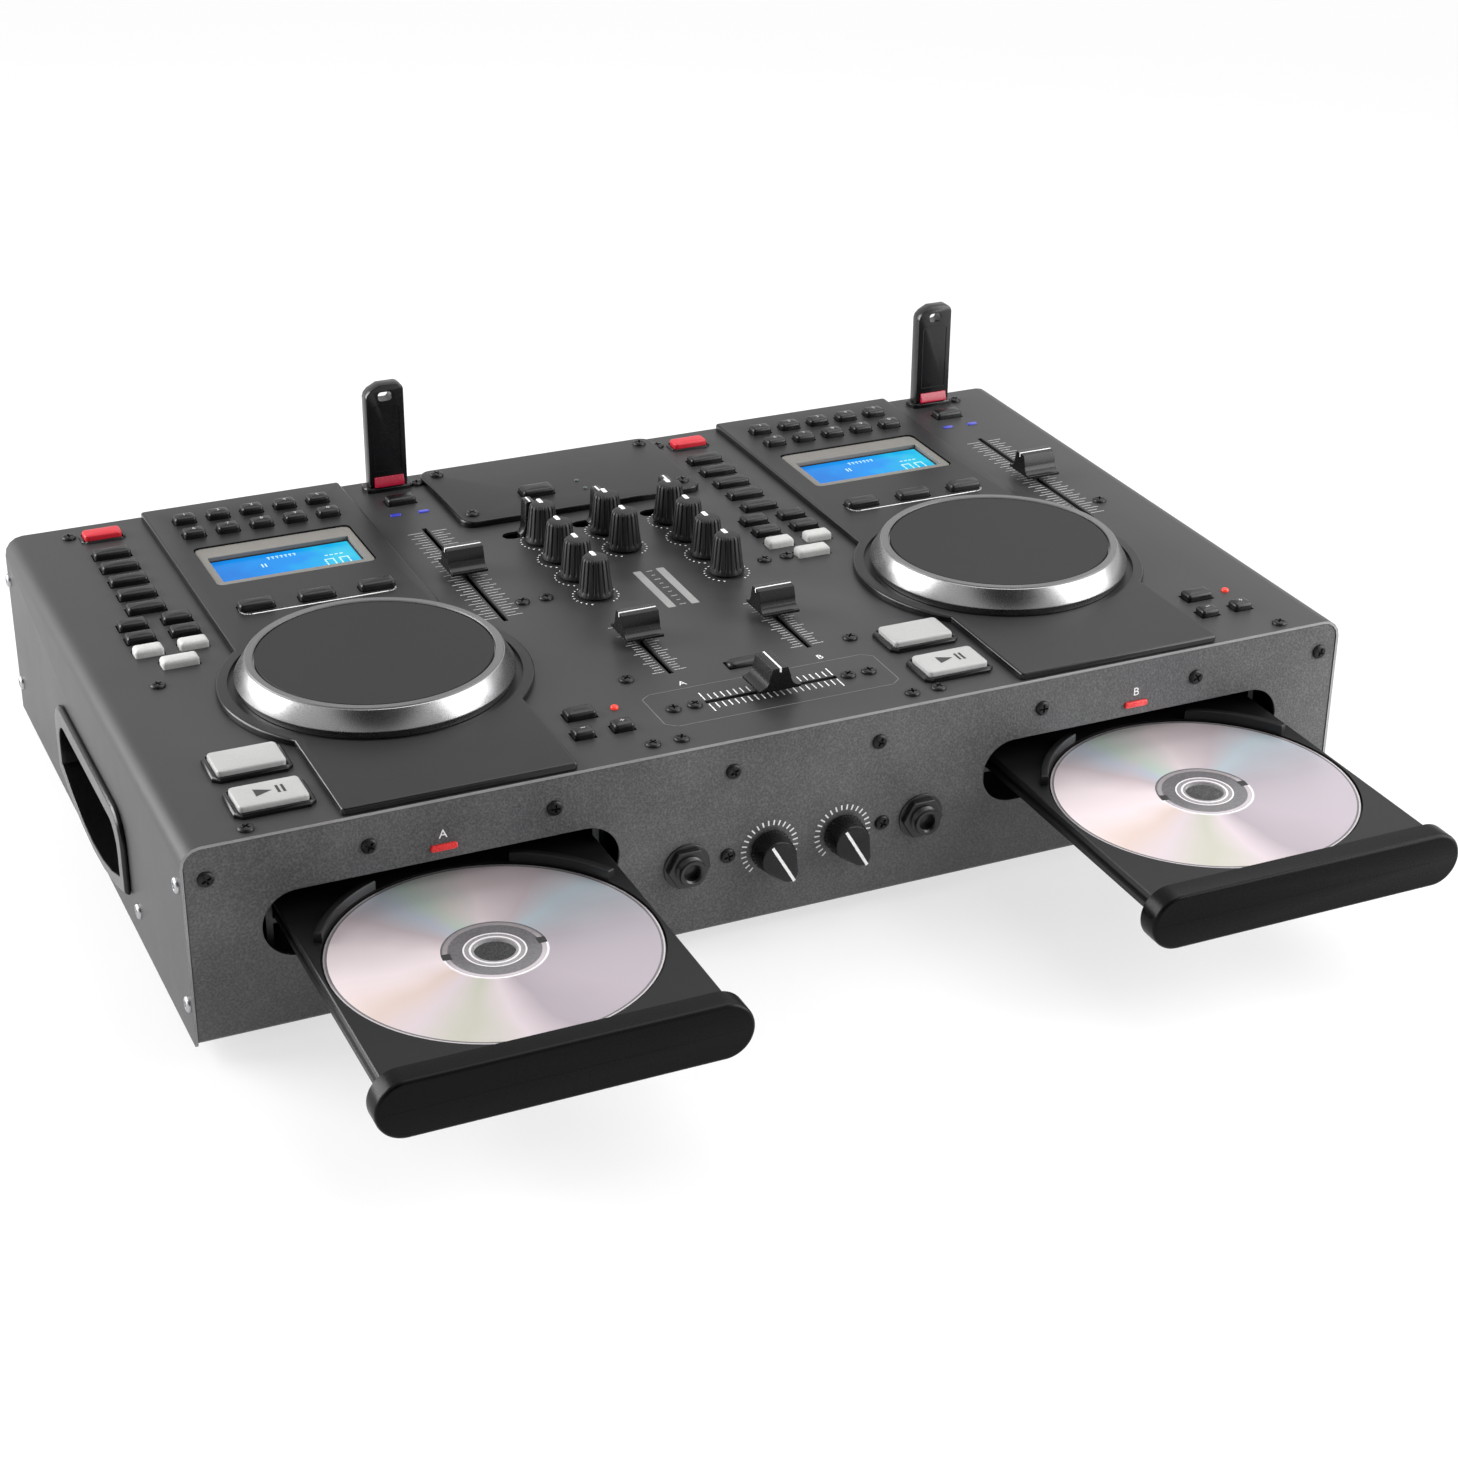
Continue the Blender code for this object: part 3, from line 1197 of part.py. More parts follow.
def make_board():
    """Circuit board on four posts, with pots, fader tracks and the rear sockets."""
    front, back = FRONT + BOARD_FRONT_MARGIN, BACK - BOARD_BACK_MARGIN
    z, sunk = BOARD_Z, BOARD_Z + BOARD_T / 2
    bm = bmesh.new()
    add_block(bm, 0, (front + back) / 2, BOARD_W, back - front, z, z + BOARD_T)
    board = part("main_board", "board", bm)

    parts_up = bmesh.new()
    for x, y in knob_places():
        add_block(parts_up, x, y, POT_W, POT_W, sunk, POT_TOP)
    for x, y in switch_places():
        length = switch_opening_length() + 2 * TRACK_END
        add_block(parts_up, x, y, length, TRACK_W, sunk, TRACK_TOP)
    for way in (-1, 1):
        x, length = way * CHANNEL_X, slot_length(CHANNEL_THROW, BLADE_LEN) + 2 * TRACK_END
        add_block(parts_up, x, channel_slot_middle(), TRACK_W, length, sunk, TRACK_TOP)
        x, length = way * DECK_X + COLUMN_OUT, slot_length(PITCH_THROW, BLADE_LEN) + 2 * TRACK_END
        add_block(parts_up, x, pitch_slot_middle(), TRACK_W, length, sunk, TRACK_TOP)
    length = slot_length(CROSS_THROW, BLADE_LEN) + 2 * TRACK_END
    add_block(parts_up, 0, CROSS_Y, length, TRACK_W, sunk, TRACK_TOP)
    first, last = phono_places()[0], phono_places()[-1]
    y, width = BACK - SHEET - 2 * GAP - PHONO_BLOCK_D / 2, last - first + PHONO_PITCH - 2 * EDGE
    top = z + BOARD_T + PHONO_BLOCK_H
    add_block(parts_up, (first + last) / 2, y, width, PHONO_BLOCK_D, sunk, top)
    beside_drive, corner = SLOT_X - DRIVE_HALF_W - POST_INSET, BOARD_W / 2 - POST_INSET
    for way in (-1, 1):
        for x, y in ((beside_drive, front + POST_INSET), (corner, back - POST_BACK_INSET)):
            post = circle(way * x, y, POST_R, SMALL_ROUND_STEPS)
            add_prism(parts_up, post, FLOOR + GAP, sunk)
    join(board, parts_up, "parts")

    sockets = bmesh.new()
    start, tip = BACK - SHEET - PHONO_BLOCK_D / 2, BACK + PHONO_OUT
    for x in phono_places():
        wide = circle(x, phono_z(), PHONO_R, SMALL_ROUND_STEPS)
        narrow = circle(x, phono_z(), PHONO_R - EDGE, SMALL_ROUND_STEPS)
        rings = ((start, wide), (tip - EDGE, wide), (tip, narrow))
        add_loft(sockets, [[(u, y, v) for u, v in ring] for y, ring in rings])
    inlet_z = TOP - INLET_DROP
    inlet = rectangle(INLET_X, inlet_z, INLET_W, INLET_H)
    add_prism_y(sockets, inlet, BACK - INLET_LEN, BACK)
    join(board, sockets, "sockets")
    neck = bmesh.new()
    inlet_top = inlet_z + INLET_H / 2
    y = BACK - INLET_LEN + INLET_NECK_LEN / 2
    add_block(neck, INLET_X, y, INLET_ROOM_W, INLET_NECK_LEN, inlet_top - EDGE, sunk)
    join(board, neck, "inlet_neck")

    holes = bmesh.new()
    for x in phono_places():
        bore = circle(x, phono_z(), PHONO_BORE_R, SMALL_ROUND_STEPS)
        add_prism_y(holes, bore, tip - PHONO_BORE_DEPTH, tip + OVERRUN)
    x, c, w, h = INLET_X, INLET_CORNER, INLET_ROOM_W / 2, INLET_ROOM_H / 2
    mouth = [
        (x - w, inlet_z - h), (x + w, inlet_z - h), (x + w, inlet_z + h - c),
        (x + w - c, inlet_z + h), (x - w + c, inlet_z + h), (x - w, inlet_z + h - c),
    ]
    add_prism_y(holes, mouth, BACK - INLET_ROOM_DEPTH, BACK + OVERRUN)
    cut(board, holes, "bores")


def make_deck(suffix, side, slot):
    """Everything that one deck has; the two decks are alike, one beside the other."""
    make_deck_plate("deck_plate_" + suffix, side)
    make_jog(suffix, side)
    make_display("display_" + suffix, side)
    room = 2 * (KEY_CLEAR + GAP)
    window = (side, WINDOW_Y, WINDOW_W + room, WINDOW_D + room)
    make_keypad(
        "deck_keys_" + suffix, plate_key_places(side), TOP + GAP, TOP + PLATE_T + KEY_RISE,
        UNDER_PLATE_W / 2 - MAT_CLEAR, window,
    )
    rise = TOP + KEY_RISE
    make_keypad("function_keys_" + suffix, key_places(side), UNDERSIDE, rise)
    make_keypad("pitch_keys_" + suffix, pitch_key_places(side), UNDERSIDE, rise)
    make_keypad("source_key_" + suffix, [source_key_place(side)], UNDERSIDE, rise)
    make_hard_keys(suffix, side)
    make_fader("pitch_fader_" + suffix, side + COLUMN_OUT, pitch_slot_middle())
    make_stick(suffix, side)
    make_tray(suffix, slot)
    make_disc(suffix, slot)
    make_drive("cd_drive_" + suffix, slot)


for old in list(bpy.data.objects):
    bpy.data.objects.remove(old, do_unlink=True)
player = bpy.data.objects.new("player", None)
player.location = (0, -OBJECT_MIDDLE_Y, 0)
bpy.context.scene.collection.objects.link(player)

make_base()
make_cover()
make_deck("a", -DECK_X, -SLOT_X)
make_deck("b", DECK_X, SLOT_X)
make_mixer_plate()
mixer_key_place = (MIXER_KEY_X, MIXER_KEY_Y, MIXER_KEY_W, MIXER_KEY_D)
make_keypad("mixer_key", [mixer_key_place], UNDERSIDE, TOP + PLATE_T + KEY_RISE)
fader_key_place = (0, FADER_KEY_Y, FADER_KEY_W, FADER_KEY_D)
make_keypad("fader_key", [fader_key_place], UNDERSIDE, TOP + FADER_KEY_RISE)
channel_y = channel_slot_middle() + CHANNEL_REST
make_fader("channel_fader_a", -CHANNEL_X, channel_y)
make_fader("channel_fader_b", CHANNEL_X, channel_y)
make_fader("crossfader", 0, CROSS_Y, along_y=False)
KNOB_NAMES = (
    "gain_knob_a", "treble_knob_a", "middle_knob_a", "bass_knob_a", "master_knob",
    "monitor_knob", "gain_knob_b", "treble_knob_b", "middle_knob_b", "bass_knob_b",
)
for knob_name, (knob_x, knob_y) in zip(KNOB_NAMES, knob_places()):
    make_knob(knob_name, knob_x, knob_y)
for switch_name, (switch_x, switch_y) in zip(
    ("source_switch_a", "monitor_switch", "source_switch_b"), switch_places()
):
    make_switch(switch_name, switch_x, switch_y)
make_jack("mic_jack", -JACK_X)
make_jack("headphone_jack", JACK_X)
make_front_knob("mic_level_knob", -FRONT_KNOB_X)
make_front_knob("cue_level_knob", FRONT_KNOB_X)
make_handle("side_handle_left", -1)
make_handle("side_handle_right", 1)
make_board()
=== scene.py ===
"""Two-deck disc player with a mixer between its decks, trays out and a disc in each."""

import math

import bmesh
import bpy
from mathutils import Matrix, Vector


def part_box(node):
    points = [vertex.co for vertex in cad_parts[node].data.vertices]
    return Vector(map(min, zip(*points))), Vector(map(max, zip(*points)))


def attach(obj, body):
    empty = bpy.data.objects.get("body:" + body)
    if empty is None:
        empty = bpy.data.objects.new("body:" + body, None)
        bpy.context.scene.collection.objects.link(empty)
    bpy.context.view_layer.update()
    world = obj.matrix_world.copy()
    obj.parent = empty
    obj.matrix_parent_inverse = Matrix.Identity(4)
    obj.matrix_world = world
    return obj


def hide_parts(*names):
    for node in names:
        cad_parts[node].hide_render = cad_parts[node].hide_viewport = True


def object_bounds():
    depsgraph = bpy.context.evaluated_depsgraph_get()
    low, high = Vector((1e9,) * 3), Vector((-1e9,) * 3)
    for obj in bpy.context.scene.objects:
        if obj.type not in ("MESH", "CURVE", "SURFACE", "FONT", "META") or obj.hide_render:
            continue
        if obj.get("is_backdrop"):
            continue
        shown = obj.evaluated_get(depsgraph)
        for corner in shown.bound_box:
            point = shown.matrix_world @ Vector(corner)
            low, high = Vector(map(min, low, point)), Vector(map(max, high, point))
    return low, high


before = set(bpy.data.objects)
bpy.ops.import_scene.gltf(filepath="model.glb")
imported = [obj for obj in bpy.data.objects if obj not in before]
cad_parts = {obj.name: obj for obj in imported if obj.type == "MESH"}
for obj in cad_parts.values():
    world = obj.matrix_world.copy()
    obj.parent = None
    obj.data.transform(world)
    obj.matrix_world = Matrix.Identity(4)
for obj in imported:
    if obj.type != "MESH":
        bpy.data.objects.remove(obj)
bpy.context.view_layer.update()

# Camera
# A short telephoto looks down on the player from in front and to the left, so that the left
# side and the front panel both show.
CAMERA_PLACE = Vector((-0.4241, -0.9502, 0.5778))
CAMERA_TURN = 0.4339
CAMERA_DIP = 0.4714
CAMERA_ROLL = 0.0119
CAMERA_LENS = 69.76
CAMERA_SENSOR = 36
CAMERA_SHIFT_X = -0.0124
CAMERA_SHIFT_Y = -0.0048

ahead = Vector((
    math.sin(CAMERA_TURN) * math.cos(CAMERA_DIP),
    math.cos(CAMERA_TURN) * math.cos(CAMERA_DIP),
    -math.sin(CAMERA_DIP),
))
level = ahead.cross(Vector((0, 0, 1))).normalized()
upward = level.cross(ahead)
image_right = math.cos(CAMERA_ROLL) * level + math.sin(CAMERA_ROLL) * upward
image_up = math.cos(CAMERA_ROLL) * upward - math.sin(CAMERA_ROLL) * level
lens = bpy.data.cameras.new("camera")
lens.sensor_width = CAMERA_SENSOR
lens.lens = CAMERA_LENS
lens.shift_x, lens.shift_y = CAMERA_SHIFT_X, CAMERA_SHIFT_Y
camera = bpy.data.objects.new("camera", lens)
camera.matrix_world = Matrix((image_right, image_up, -ahead)).transposed().to_4x4()
camera.matrix_world.translation = CAMERA_PLACE
bpy.context.scene.collection.objects.link(camera)
bpy.context.scene.camera = camera
bpy.context.scene.view_settings.view_transform = "Standard"


# Floor, room and lamps
# The player stands on a white floor in a white room. Soft boxes light it from above, from the
# left and, low down, from the right. In reflections the room is dark in front of the player and
# above it, so that the metal keeps its contrast.
FLOOR_SIZE = 14.0
FLOOR_CLOUDS = 3.0
FLOOR_GLOW = 0.68
FLOOR_NEAR = 0.5
FLOOR_FAR = 1.6
ROOM_LIGHT = 0.37
# The middle of the room's dark side, and the cosines of the angles at which it starts and is full
DARK_SIDE = Vector((-0.23, -0.79, 0.57)).normalized()
DARK_FROM = 0.80
DARK_TO = 0.92
DARKEST = 0.97
# Place, width in metres and power in watts of each soft box
SOFT_BOXES = {
    "above": ((0.8, 0.3, 1.8), 1.6, 21),
    "left": ((-1.5, 0.85, 0.72), 1.3, 58),
    "right": ((0.85, -0.48, 0.46), 0.9, 15),
}
LAMP_TARGET = (0.0, 0.03, 0.05)
# Cloudy noise lies mostly between these two values
NOISE_LOW = 0.3
NOISE_HIGH = 0.7


def add(tree, kind, inputs, **settings):
    """Adds one shader node. An input is a value, or the output of another node."""
    made = tree.nodes.new("ShaderNode" + kind)
    for key, value in settings.items():
        setattr(made, key, value)
    for key, value in inputs.items():
        if isinstance(value, bpy.types.NodeSocket):
            tree.links.new(value, made.inputs[key])
        else:
            made.inputs[key].default_value = value
    return made


def tone(red, green, blue):
    """A colour as it looks on a screen, from 0 to 255, as the linear value that shaders take."""
    shares = [value / 255 for value in (red, green, blue)]
    return (*[v / 12.92 if v < 0.04 else ((v + 0.055) / 1.055) ** 2.4 for v in shares], 1.0)


def blank_material(name):
    made = bpy.data.materials.new(name)
    made.use_nodes = True
    made.node_tree.nodes.clear()
    return made, made.node_tree


def ramp(tree, value, *stops):
    """Colours spread over a value from 0 to 1, as (position, colour) stops."""
    made = add(tree, "ValToRGB", {"Fac": value})
    elements = made.color_ramp.elements
    while len(elements) < len(stops):
        elements.new(1.0)
    for element, (position, colour) in zip(elements, stops):
        element.position, element.color = position, colour
    return made.outputs["Color"]


def seen_directly(tree):
    """1 for the camera's rays and for those that metal and glass send on, and 0 for the rest."""
    rays = add(tree, "LightPath", {}).outputs
    sent_on = add(tree, "Math", {0: rays["Is Glossy Ray"], 1: rays["Is Transmission Ray"]},
                  operation="MAXIMUM").outputs[0]
    either = add(tree, "Math", {0: rays["Is Camera Ray"], 1: sent_on}, operation="MAXIMUM")
    return either.outputs[0]


def smooth_mesh(mesh, sharp):
    mesh.polygons.foreach_set("use_smooth", [True] * len(mesh.polygons))
    mesh.set_sharp_from_angle(angle=math.radians(sharp))


def new_mesh(name, bm, *materials, sharp=32):
    """An object from a finished bmesh, smooth but for its sharp edges."""
    bmesh.ops.recalc_face_normals(bm, faces=bm.faces)
    mesh = bpy.data.meshes.new(name)
    bm.to_mesh(mesh)
    bm.free()
    for material in materials:
        mesh.materials.append(material)
    smooth_mesh(mesh, sharp)
    made = bpy.data.objects.new(name, mesh)
    bpy.context.scene.collection.objects.link(made)
    return made


def lamp(name, place, size, power):
    light = bpy.data.lights.new(name, "AREA")
    light.shape, light.size, light.energy = "SQUARE", size, power
    made = bpy.data.objects.new(name, light)
    made.location = place
    made.rotation_euler = (Vector(LAMP_TARGET) - Vector(place)).to_track_quat("-Z", "Y").to_euler()
    bpy.context.scene.collection.objects.link(made)


white_floor, tree = blank_material("white_floor")
place = add(tree, "TexCoord", {}).outputs["Object"]
clouds = add(tree, "TexNoise", {
    "Vector": place, "Scale": FLOOR_CLOUDS, "Detail": 4.0,
}).outputs["Fac"]
white = ramp(tree, clouds, (NOISE_LOW, tone(250, 250, 251)), (NOISE_HIGH, tone(254, 254, 254)))
diffuse = add(tree, "BsdfDiffuse", {"Color": white}).outputs[0]
glow = add(tree, "Emission", {"Color": tone(253, 253, 253), "Strength": 1.0}).outputs[0]
reach = add(tree, "VectorMath", {0: place}, operation="LENGTH").outputs["Value"]
share = add(tree, "MapRange", {
    "Value": reach, "From Min": FLOOR_NEAR, "From Max": FLOOR_FAR, "To Min": FLOOR_GLOW,
}).outputs[0]
share = add(tree, "Math", {0: share, 1: seen_directly(tree)}, operation="MULTIPLY").outputs[0]
lit = add(tree, "MixShader", {0: share, 1: diffuse, 2: glow}).outputs[0]
add(tree, "OutputMaterial", {"Surface": lit})
bm = bmesh.new()
bmesh.ops.create_grid(bm, x_segments=8, y_segments=8, size=FLOOR_SIZE / 2)
new_mesh("floor", bm, white_floor)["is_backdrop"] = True

world = bpy.data.worlds.new("room")
world.use_nodes = True
tree = world.node_tree
tree.nodes.clear()
dim = add(tree, "Background", {"Color": (1, 1, 1, 1), "Strength": ROOM_LIGHT}).outputs[0]
bright = add(tree, "Background", {"Color": (1, 1, 1, 1), "Strength": 1.0}).outputs[0]
black = add(tree, "Background", {"Color": (0, 0, 0, 1)}).outputs[0]
away = add(tree, "TexCoord", {}).outputs["Generated"]
facing = add(tree, "VectorMath", {0: away, 1: DARK_SIDE}, operation="DOT_PRODUCT").outputs["Value"]
darkness = add(tree, "MapRange", {
    "Value": facing, "From Min": DARK_FROM, "From Max": DARK_TO, "To Max": DARKEST,
}).outputs[0]
glossy = add(tree, "LightPath", {}).outputs["Is Glossy Ray"]
darkness = add(tree, "Math", {0: darkness, 1: glossy}, operation="MULTIPLY").outputs[0]
bright = add(tree, "MixShader", {0: darkness, 1: bright, 2: black}).outputs[0]
both = add(tree, "MixShader", {0: seen_directly(tree), 1: dim, 2: bright}).outputs[0]
add(tree, "OutputWorld", {"Surface": both})
bpy.context.scene.world = world

for side, (place, size, power) in SOFT_BOXES.items():
    lamp("soft_box_" + side, place, size, power)


# Base of the case
# One steel sheet folded into the floor, the front panel and the rear panel, powder coated with a
# leather-like grain, and standing on four turned rubber feet.
SHEET = 0.0012
SEAT_GAP = 0.0003
FLOOR_BEND_R = 0.0025
PANEL_CORNER_R = 0.0065
FOOT_H = 0.007
FOOT_R = 0.010
FOOT_EDGE = 0.0010
FOOT_INSET = 0.023
SLOT_W = 0.1382
SLOT_H = 0.0273
PLUG_HOLE_R = 0.0061
SHAFT_HOLE_R = 0.0033
PHONO_HOLE_R = 0.0044
PHONO_LEFT = -0.056
PHONO_STEP = 0.014
PHONO_COUNT = 6
PHONO_Z = 0.0749
# How far below the cover's face the trays' tops and the front row lie, and below the trays' tops
# the middle of the slots
TRAY_DOWN = 0.0336
FRONT_ROW_DOWN = 0.0506
SLOT_DOWN = 0.0052
# What a round end falls short of a half circle, so that no two of its points meet
HAIR = 0.00001
# How far in the middle point of a small rounded edge lies, as a share of the edge
EDGE_MIDDLE = 0.3
base_low, base_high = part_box("base_chassis")
FRONT = base_low.y - SEAT_GAP
BACK = base_high.y + SEAT_GAP
PANEL_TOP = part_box("mixer_plate")[0].z - SEAT_GAP
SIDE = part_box("top_cover")[1].x
TRAY_TOP = PANEL_TOP - TRAY_DOWN
SLOT_Z = TRAY_TOP - SLOT_DOWN
FRONT_ROW_Z = PANEL_TOP - FRONT_ROW_DOWN
FRONT_ROW = {"mic_jack": PLUG_HOLE_R, "headphone_jack": PLUG_HOLE_R,
             "mic_level_knob": SHAFT_HOLE_R, "cue_level_knob": SHAFT_HOLE_R}
PHONO_XS = [PHONO_LEFT + i * PHONO_STEP for i in range(PHONO_COUNT)]
# The mains inlet's place and the size of its opening: x, z, width, height, corner radius
INLET = (0.048, 0.0498, 0.0276, 0.0201, 0.0005)


def middle(node):
    low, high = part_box(node)
    return (low + high) / 2


def finish(name, deep, pale, sheen, grain, relief, patch=0.04, cells=False, gloss=0.5, **more):
    """A surface of two close shades in cloudy patches, with its own fine grain and sheen.

    deep and pale are the shades, sheen the least and the greatest roughness, grain and patch the
    widths of a grain and of a patch, and relief the depth of the grain, all three in metres.
    """
    made, tree = blank_material(name)
    place = add(tree, "TexCoord", {}).outputs["Object"]
    clouds = add(tree, "TexNoise", {
        "Vector": place, "Scale": 1 / patch, "Detail": 5.0, "Roughness": 0.6,
    }).outputs["Fac"]
    if cells:
        height = add(tree, "TexVoronoi", {"Vector": place, "Scale": 1 / grain},
                     feature="SMOOTH_F1").outputs["Distance"]
    else:
        height = add(tree, "TexNoise", {
            "Vector": place, "Scale": 1 / grain, "Detail": 3.0,
        }).outputs["Fac"]
    mixed = add(tree, "Math", {0: clouds, 1: height}, operation="ADD").outputs[0]
    half = add(tree, "Math", {0: mixed, 1: 0.5}, operation="MULTIPLY").outputs[0]
    rough = add(tree, "MapRange", {
        "Value": half, "From Min": NOISE_LOW, "From Max": NOISE_HIGH,
        "To Min": sheen[0], "To Max": sheen[1],
    }).outputs[0]
    bump = add(tree, "Bump", {"Height": height, "Strength": 1.0, "Distance": relief})
    shader = add(tree, "BsdfPrincipled", {
        "Base Color": ramp(tree, half, (NOISE_LOW, deep), (NOISE_HIGH, pale)),
        "Roughness": rough, "Normal": bump.outputs[0], "Specular IOR Level": gloss, **more,
    })
    add(tree, "OutputMaterial", {"Surface": shader.outputs["BSDF"]})
    return made


def settle(made, body, slot, *stands_for):
    """Fixes a finished piece to its body, and hides the nodes it stands for. The slot is not used.
    """
    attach(made, body)
    if stands_for:
        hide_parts(*stands_for)
    return made


def arc(x, y, radius, start, end, steps):
    """Points on a circle about (x, y), from one angle in degrees to another."""
    turns = [math.radians(start + (end - start) * i / steps) for i in range(steps + 1)]
    return [(x + radius * math.cos(t), y + radius * math.sin(t)) for t in turns]


def circle(x, y, radius, steps=48):
    return arc(x, y, radius, 0, 360 - 360 / steps, steps - 1)


def rounded(x, y, width, depth, radius, steps=5):
    """A rectangle with round corners, counterclockwise."""
    points = []
    for i, (sx, sy) in enumerate(((1, 1), (-1, 1), (-1, -1), (1, -1))):
        cx, cy = x + sx * (width / 2 - radius), y + sy * (depth / 2 - radius)
        points += arc(cx, cy, radius, 90 * i, 90 * i + 90, steps)
    return points


def inset(points, distance):
    """The counterclockwise outline moved inwards by a distance, corner by corner."""
    moved = []
    for i, point in enumerate(points):
        here = Vector(point)
        came = (here - Vector(points[i - 1])).normalized()
        goes = (Vector(points[(i + 1) % len(points)]) - here).normalized()
        inward = (Vector((-came.y, came.x)) + Vector((-goes.y, goes.x))).normalized()
        moved.append(tuple(here + inward * (distance / inward.dot(Vector((-goes.y, goes.x))))))
    return moved


def loft(bm, rings, closed=False):
    """Skins rings of as many points each, and closes both ends, or joins them in a loop."""
    loops = [[bm.verts.new(point) for point in ring] for ring in rings]
    for one, other in zip(loops, loops[1:] + loops[:1] if closed else loops[1:]):
        for i, point in enumerate(one):
            j = (i + 1) % len(one)
            bm.faces.new((point, one[j], other[j], other[i]))
    if not closed:
        bm.faces.new(loops[0][::-1])
        bm.faces.new(loops[-1])


def eased(points, edge, steps=4):
    """An outline at the steps of a rounded edge, each with its depth below the finished face."""
    if not edge:
        return [(points, 0.0)]
    turns = [math.radians(90 * i / steps) for i in range(steps + 1)]
    return [(inset(points, edge * (1 - math.cos(t))), edge * (1 - math.sin(t))) for t in turns]


def rise(bm, points, low, high, edge=0.0):
    """An outline raised along Z, its top edge rounded by edge."""
    rings = [[(u, v, low) for u, v in points]]
    loft(bm, rings + [[(u, v, high - d) for u, v in ring] for ring, d in eased(points, edge)])


def run_back(bm, points, front, back, edge=0.0):
    """An outline of (x, z) run along Y, its front edge rounded by edge."""
    rings = [[(u, back, v) for u, v in points]]
    loft(bm, rings + [[(u, front + d, v) for u, v in ring] for ring, d in eased(points, edge)])


def turn(bm, profile, steps, closed=False):
    """Turns (radius, height) points about the upright axis."""
    angles = [2 * math.pi * i / steps for i in range(steps)]
    rings = [[(r * math.cos(t), r * math.sin(t), z) for t in angles] for r, z in profile]
    loft(bm, rings, closed)


def cut_away(made, tool, sharp=32):
    """Cuts the shapes of a bmesh out of a piece."""
    cutter = new_mesh("tool", tool)
    modifier = made.modifiers.new("cut", "BOOLEAN")
    modifier.operation, modifier.solver, modifier.object = "DIFFERENCE", "EXACT", cutter
    shape = bpy.data.meshes.new_from_object(
        made.evaluated_get(bpy.context.evaluated_depsgraph_get())
    )
    made.modifiers.clear()
    made.data = shape
    smooth_mesh(shape, sharp)
    bpy.data.objects.remove(cutter)


panel_paint = finish(
    "panel_paint", tone(53, 53, 54), tone(93, 93, 94), (0.42, 0.62), 0.0008, 0.00010, cells=True,
)
foot_rubber = finish(
    "foot_rubber", tone(22, 22, 23), tone(34, 34, 35), (0.6, 0.8), 0.0006, 0.00002,
)
f, b, top = base_low.y, base_high.y, base_high.z
bend_z, inner_r = FOOT_H + FLOOR_BEND_R, FLOOR_BEND_R - SHEET
outline = [(f, top)]
outline += arc(f + FLOOR_BEND_R, bend_z, FLOOR_BEND_R, 180, 270, 5)
outline += arc(b - FLOOR_BEND_R, bend_z, FLOOR_BEND_R, 270, 360, 5)
outline += [(b, top), (b - SHEET, top)]
outline += arc(b - FLOOR_BEND_R, bend_z, inner_r, 360, 270, 5)
outline += arc(f + FLOOR_BEND_R, bend_z, inner_r, 270, 180, 5)
outline.append((f + SHEET, top))
bm = bmesh.new()
loft(bm, [[(x, u, v) for u, v in outline] for x in (base_low.x, base_high.x)])
corners = [
    edge for edge in bm.edges
    if all(top - v.co.z < SEAT_GAP for v in edge.verts)
    and abs(sum(v.co.x for v in edge.verts)) > SIDE
]
bmesh.ops.bevel(
    bm, geom=corners, offset=PANEL_CORNER_R, segments=8, affect="EDGES", profile=0.5,
)
base = new_mesh("case_base", bm, panel_paint)
slot_x = middle("tray_b").x
holes = bmesh.new()
for way in (-1, 1):
    outline = rounded(way * slot_x, SLOT_Z, SLOT_W, SLOT_H, SLOT_H / 2 - HAIR, 14)
    run_back(holes, outline, FRONT - SHEET, FRONT + 2 * SHEET)
for node, radius in FRONT_ROW.items():
    outline = circle(middle(node).x, FRONT_ROW_Z, radius, 32)
    run_back(holes, outline, FRONT - SHEET, FRONT + 2 * SHEET)
for x in PHONO_XS:
    run_back(holes, circle(x, PHONO_Z, PHONO_HOLE_R, 32), BACK - 2 * SHEET, BACK + SHEET)
run_back(holes, rounded(*INLET), BACK - 2 * SHEET, BACK + SHEET)
cut_away(base, holes)
settle(base, "case", "case_paint", "base_chassis")
for i, (way, y) in enumerate((way, y) for way in (-1, 1) for y in (FRONT, BACK)):
    bm = bmesh.new()
    turn(bm, [
        (FOOT_R - FOOT_EDGE, 0.0), (FOOT_R - FOOT_EDGE * EDGE_MIDDLE, FOOT_EDGE * EDGE_MIDDLE),
        (FOOT_R, FOOT_EDGE), (FOOT_R, FOOT_H - FOOT_EDGE), (FOOT_R - FOOT_EDGE / 2, FOOT_H),
    ], 48)
    foot = new_mesh(f"foot_{i}", bm, foot_rubber)
    foot.location = (way * (SIDE - FOOT_INSET), y + math.copysign(FOOT_INSET, -y), 0)
    settle(foot, "case", "black_rubber")


# Circuit board and disc drives
# The green lacquered board carries the black bodies of the controls and the rear sockets. The
# zinc-plated drives stand under it and are only glimpsed through the tray slots.
BOARD_DOWN = 0.0200
BOARD_FACE = PANEL_TOP - BOARD_DOWN
SOCKET_ROOM = 0.0300

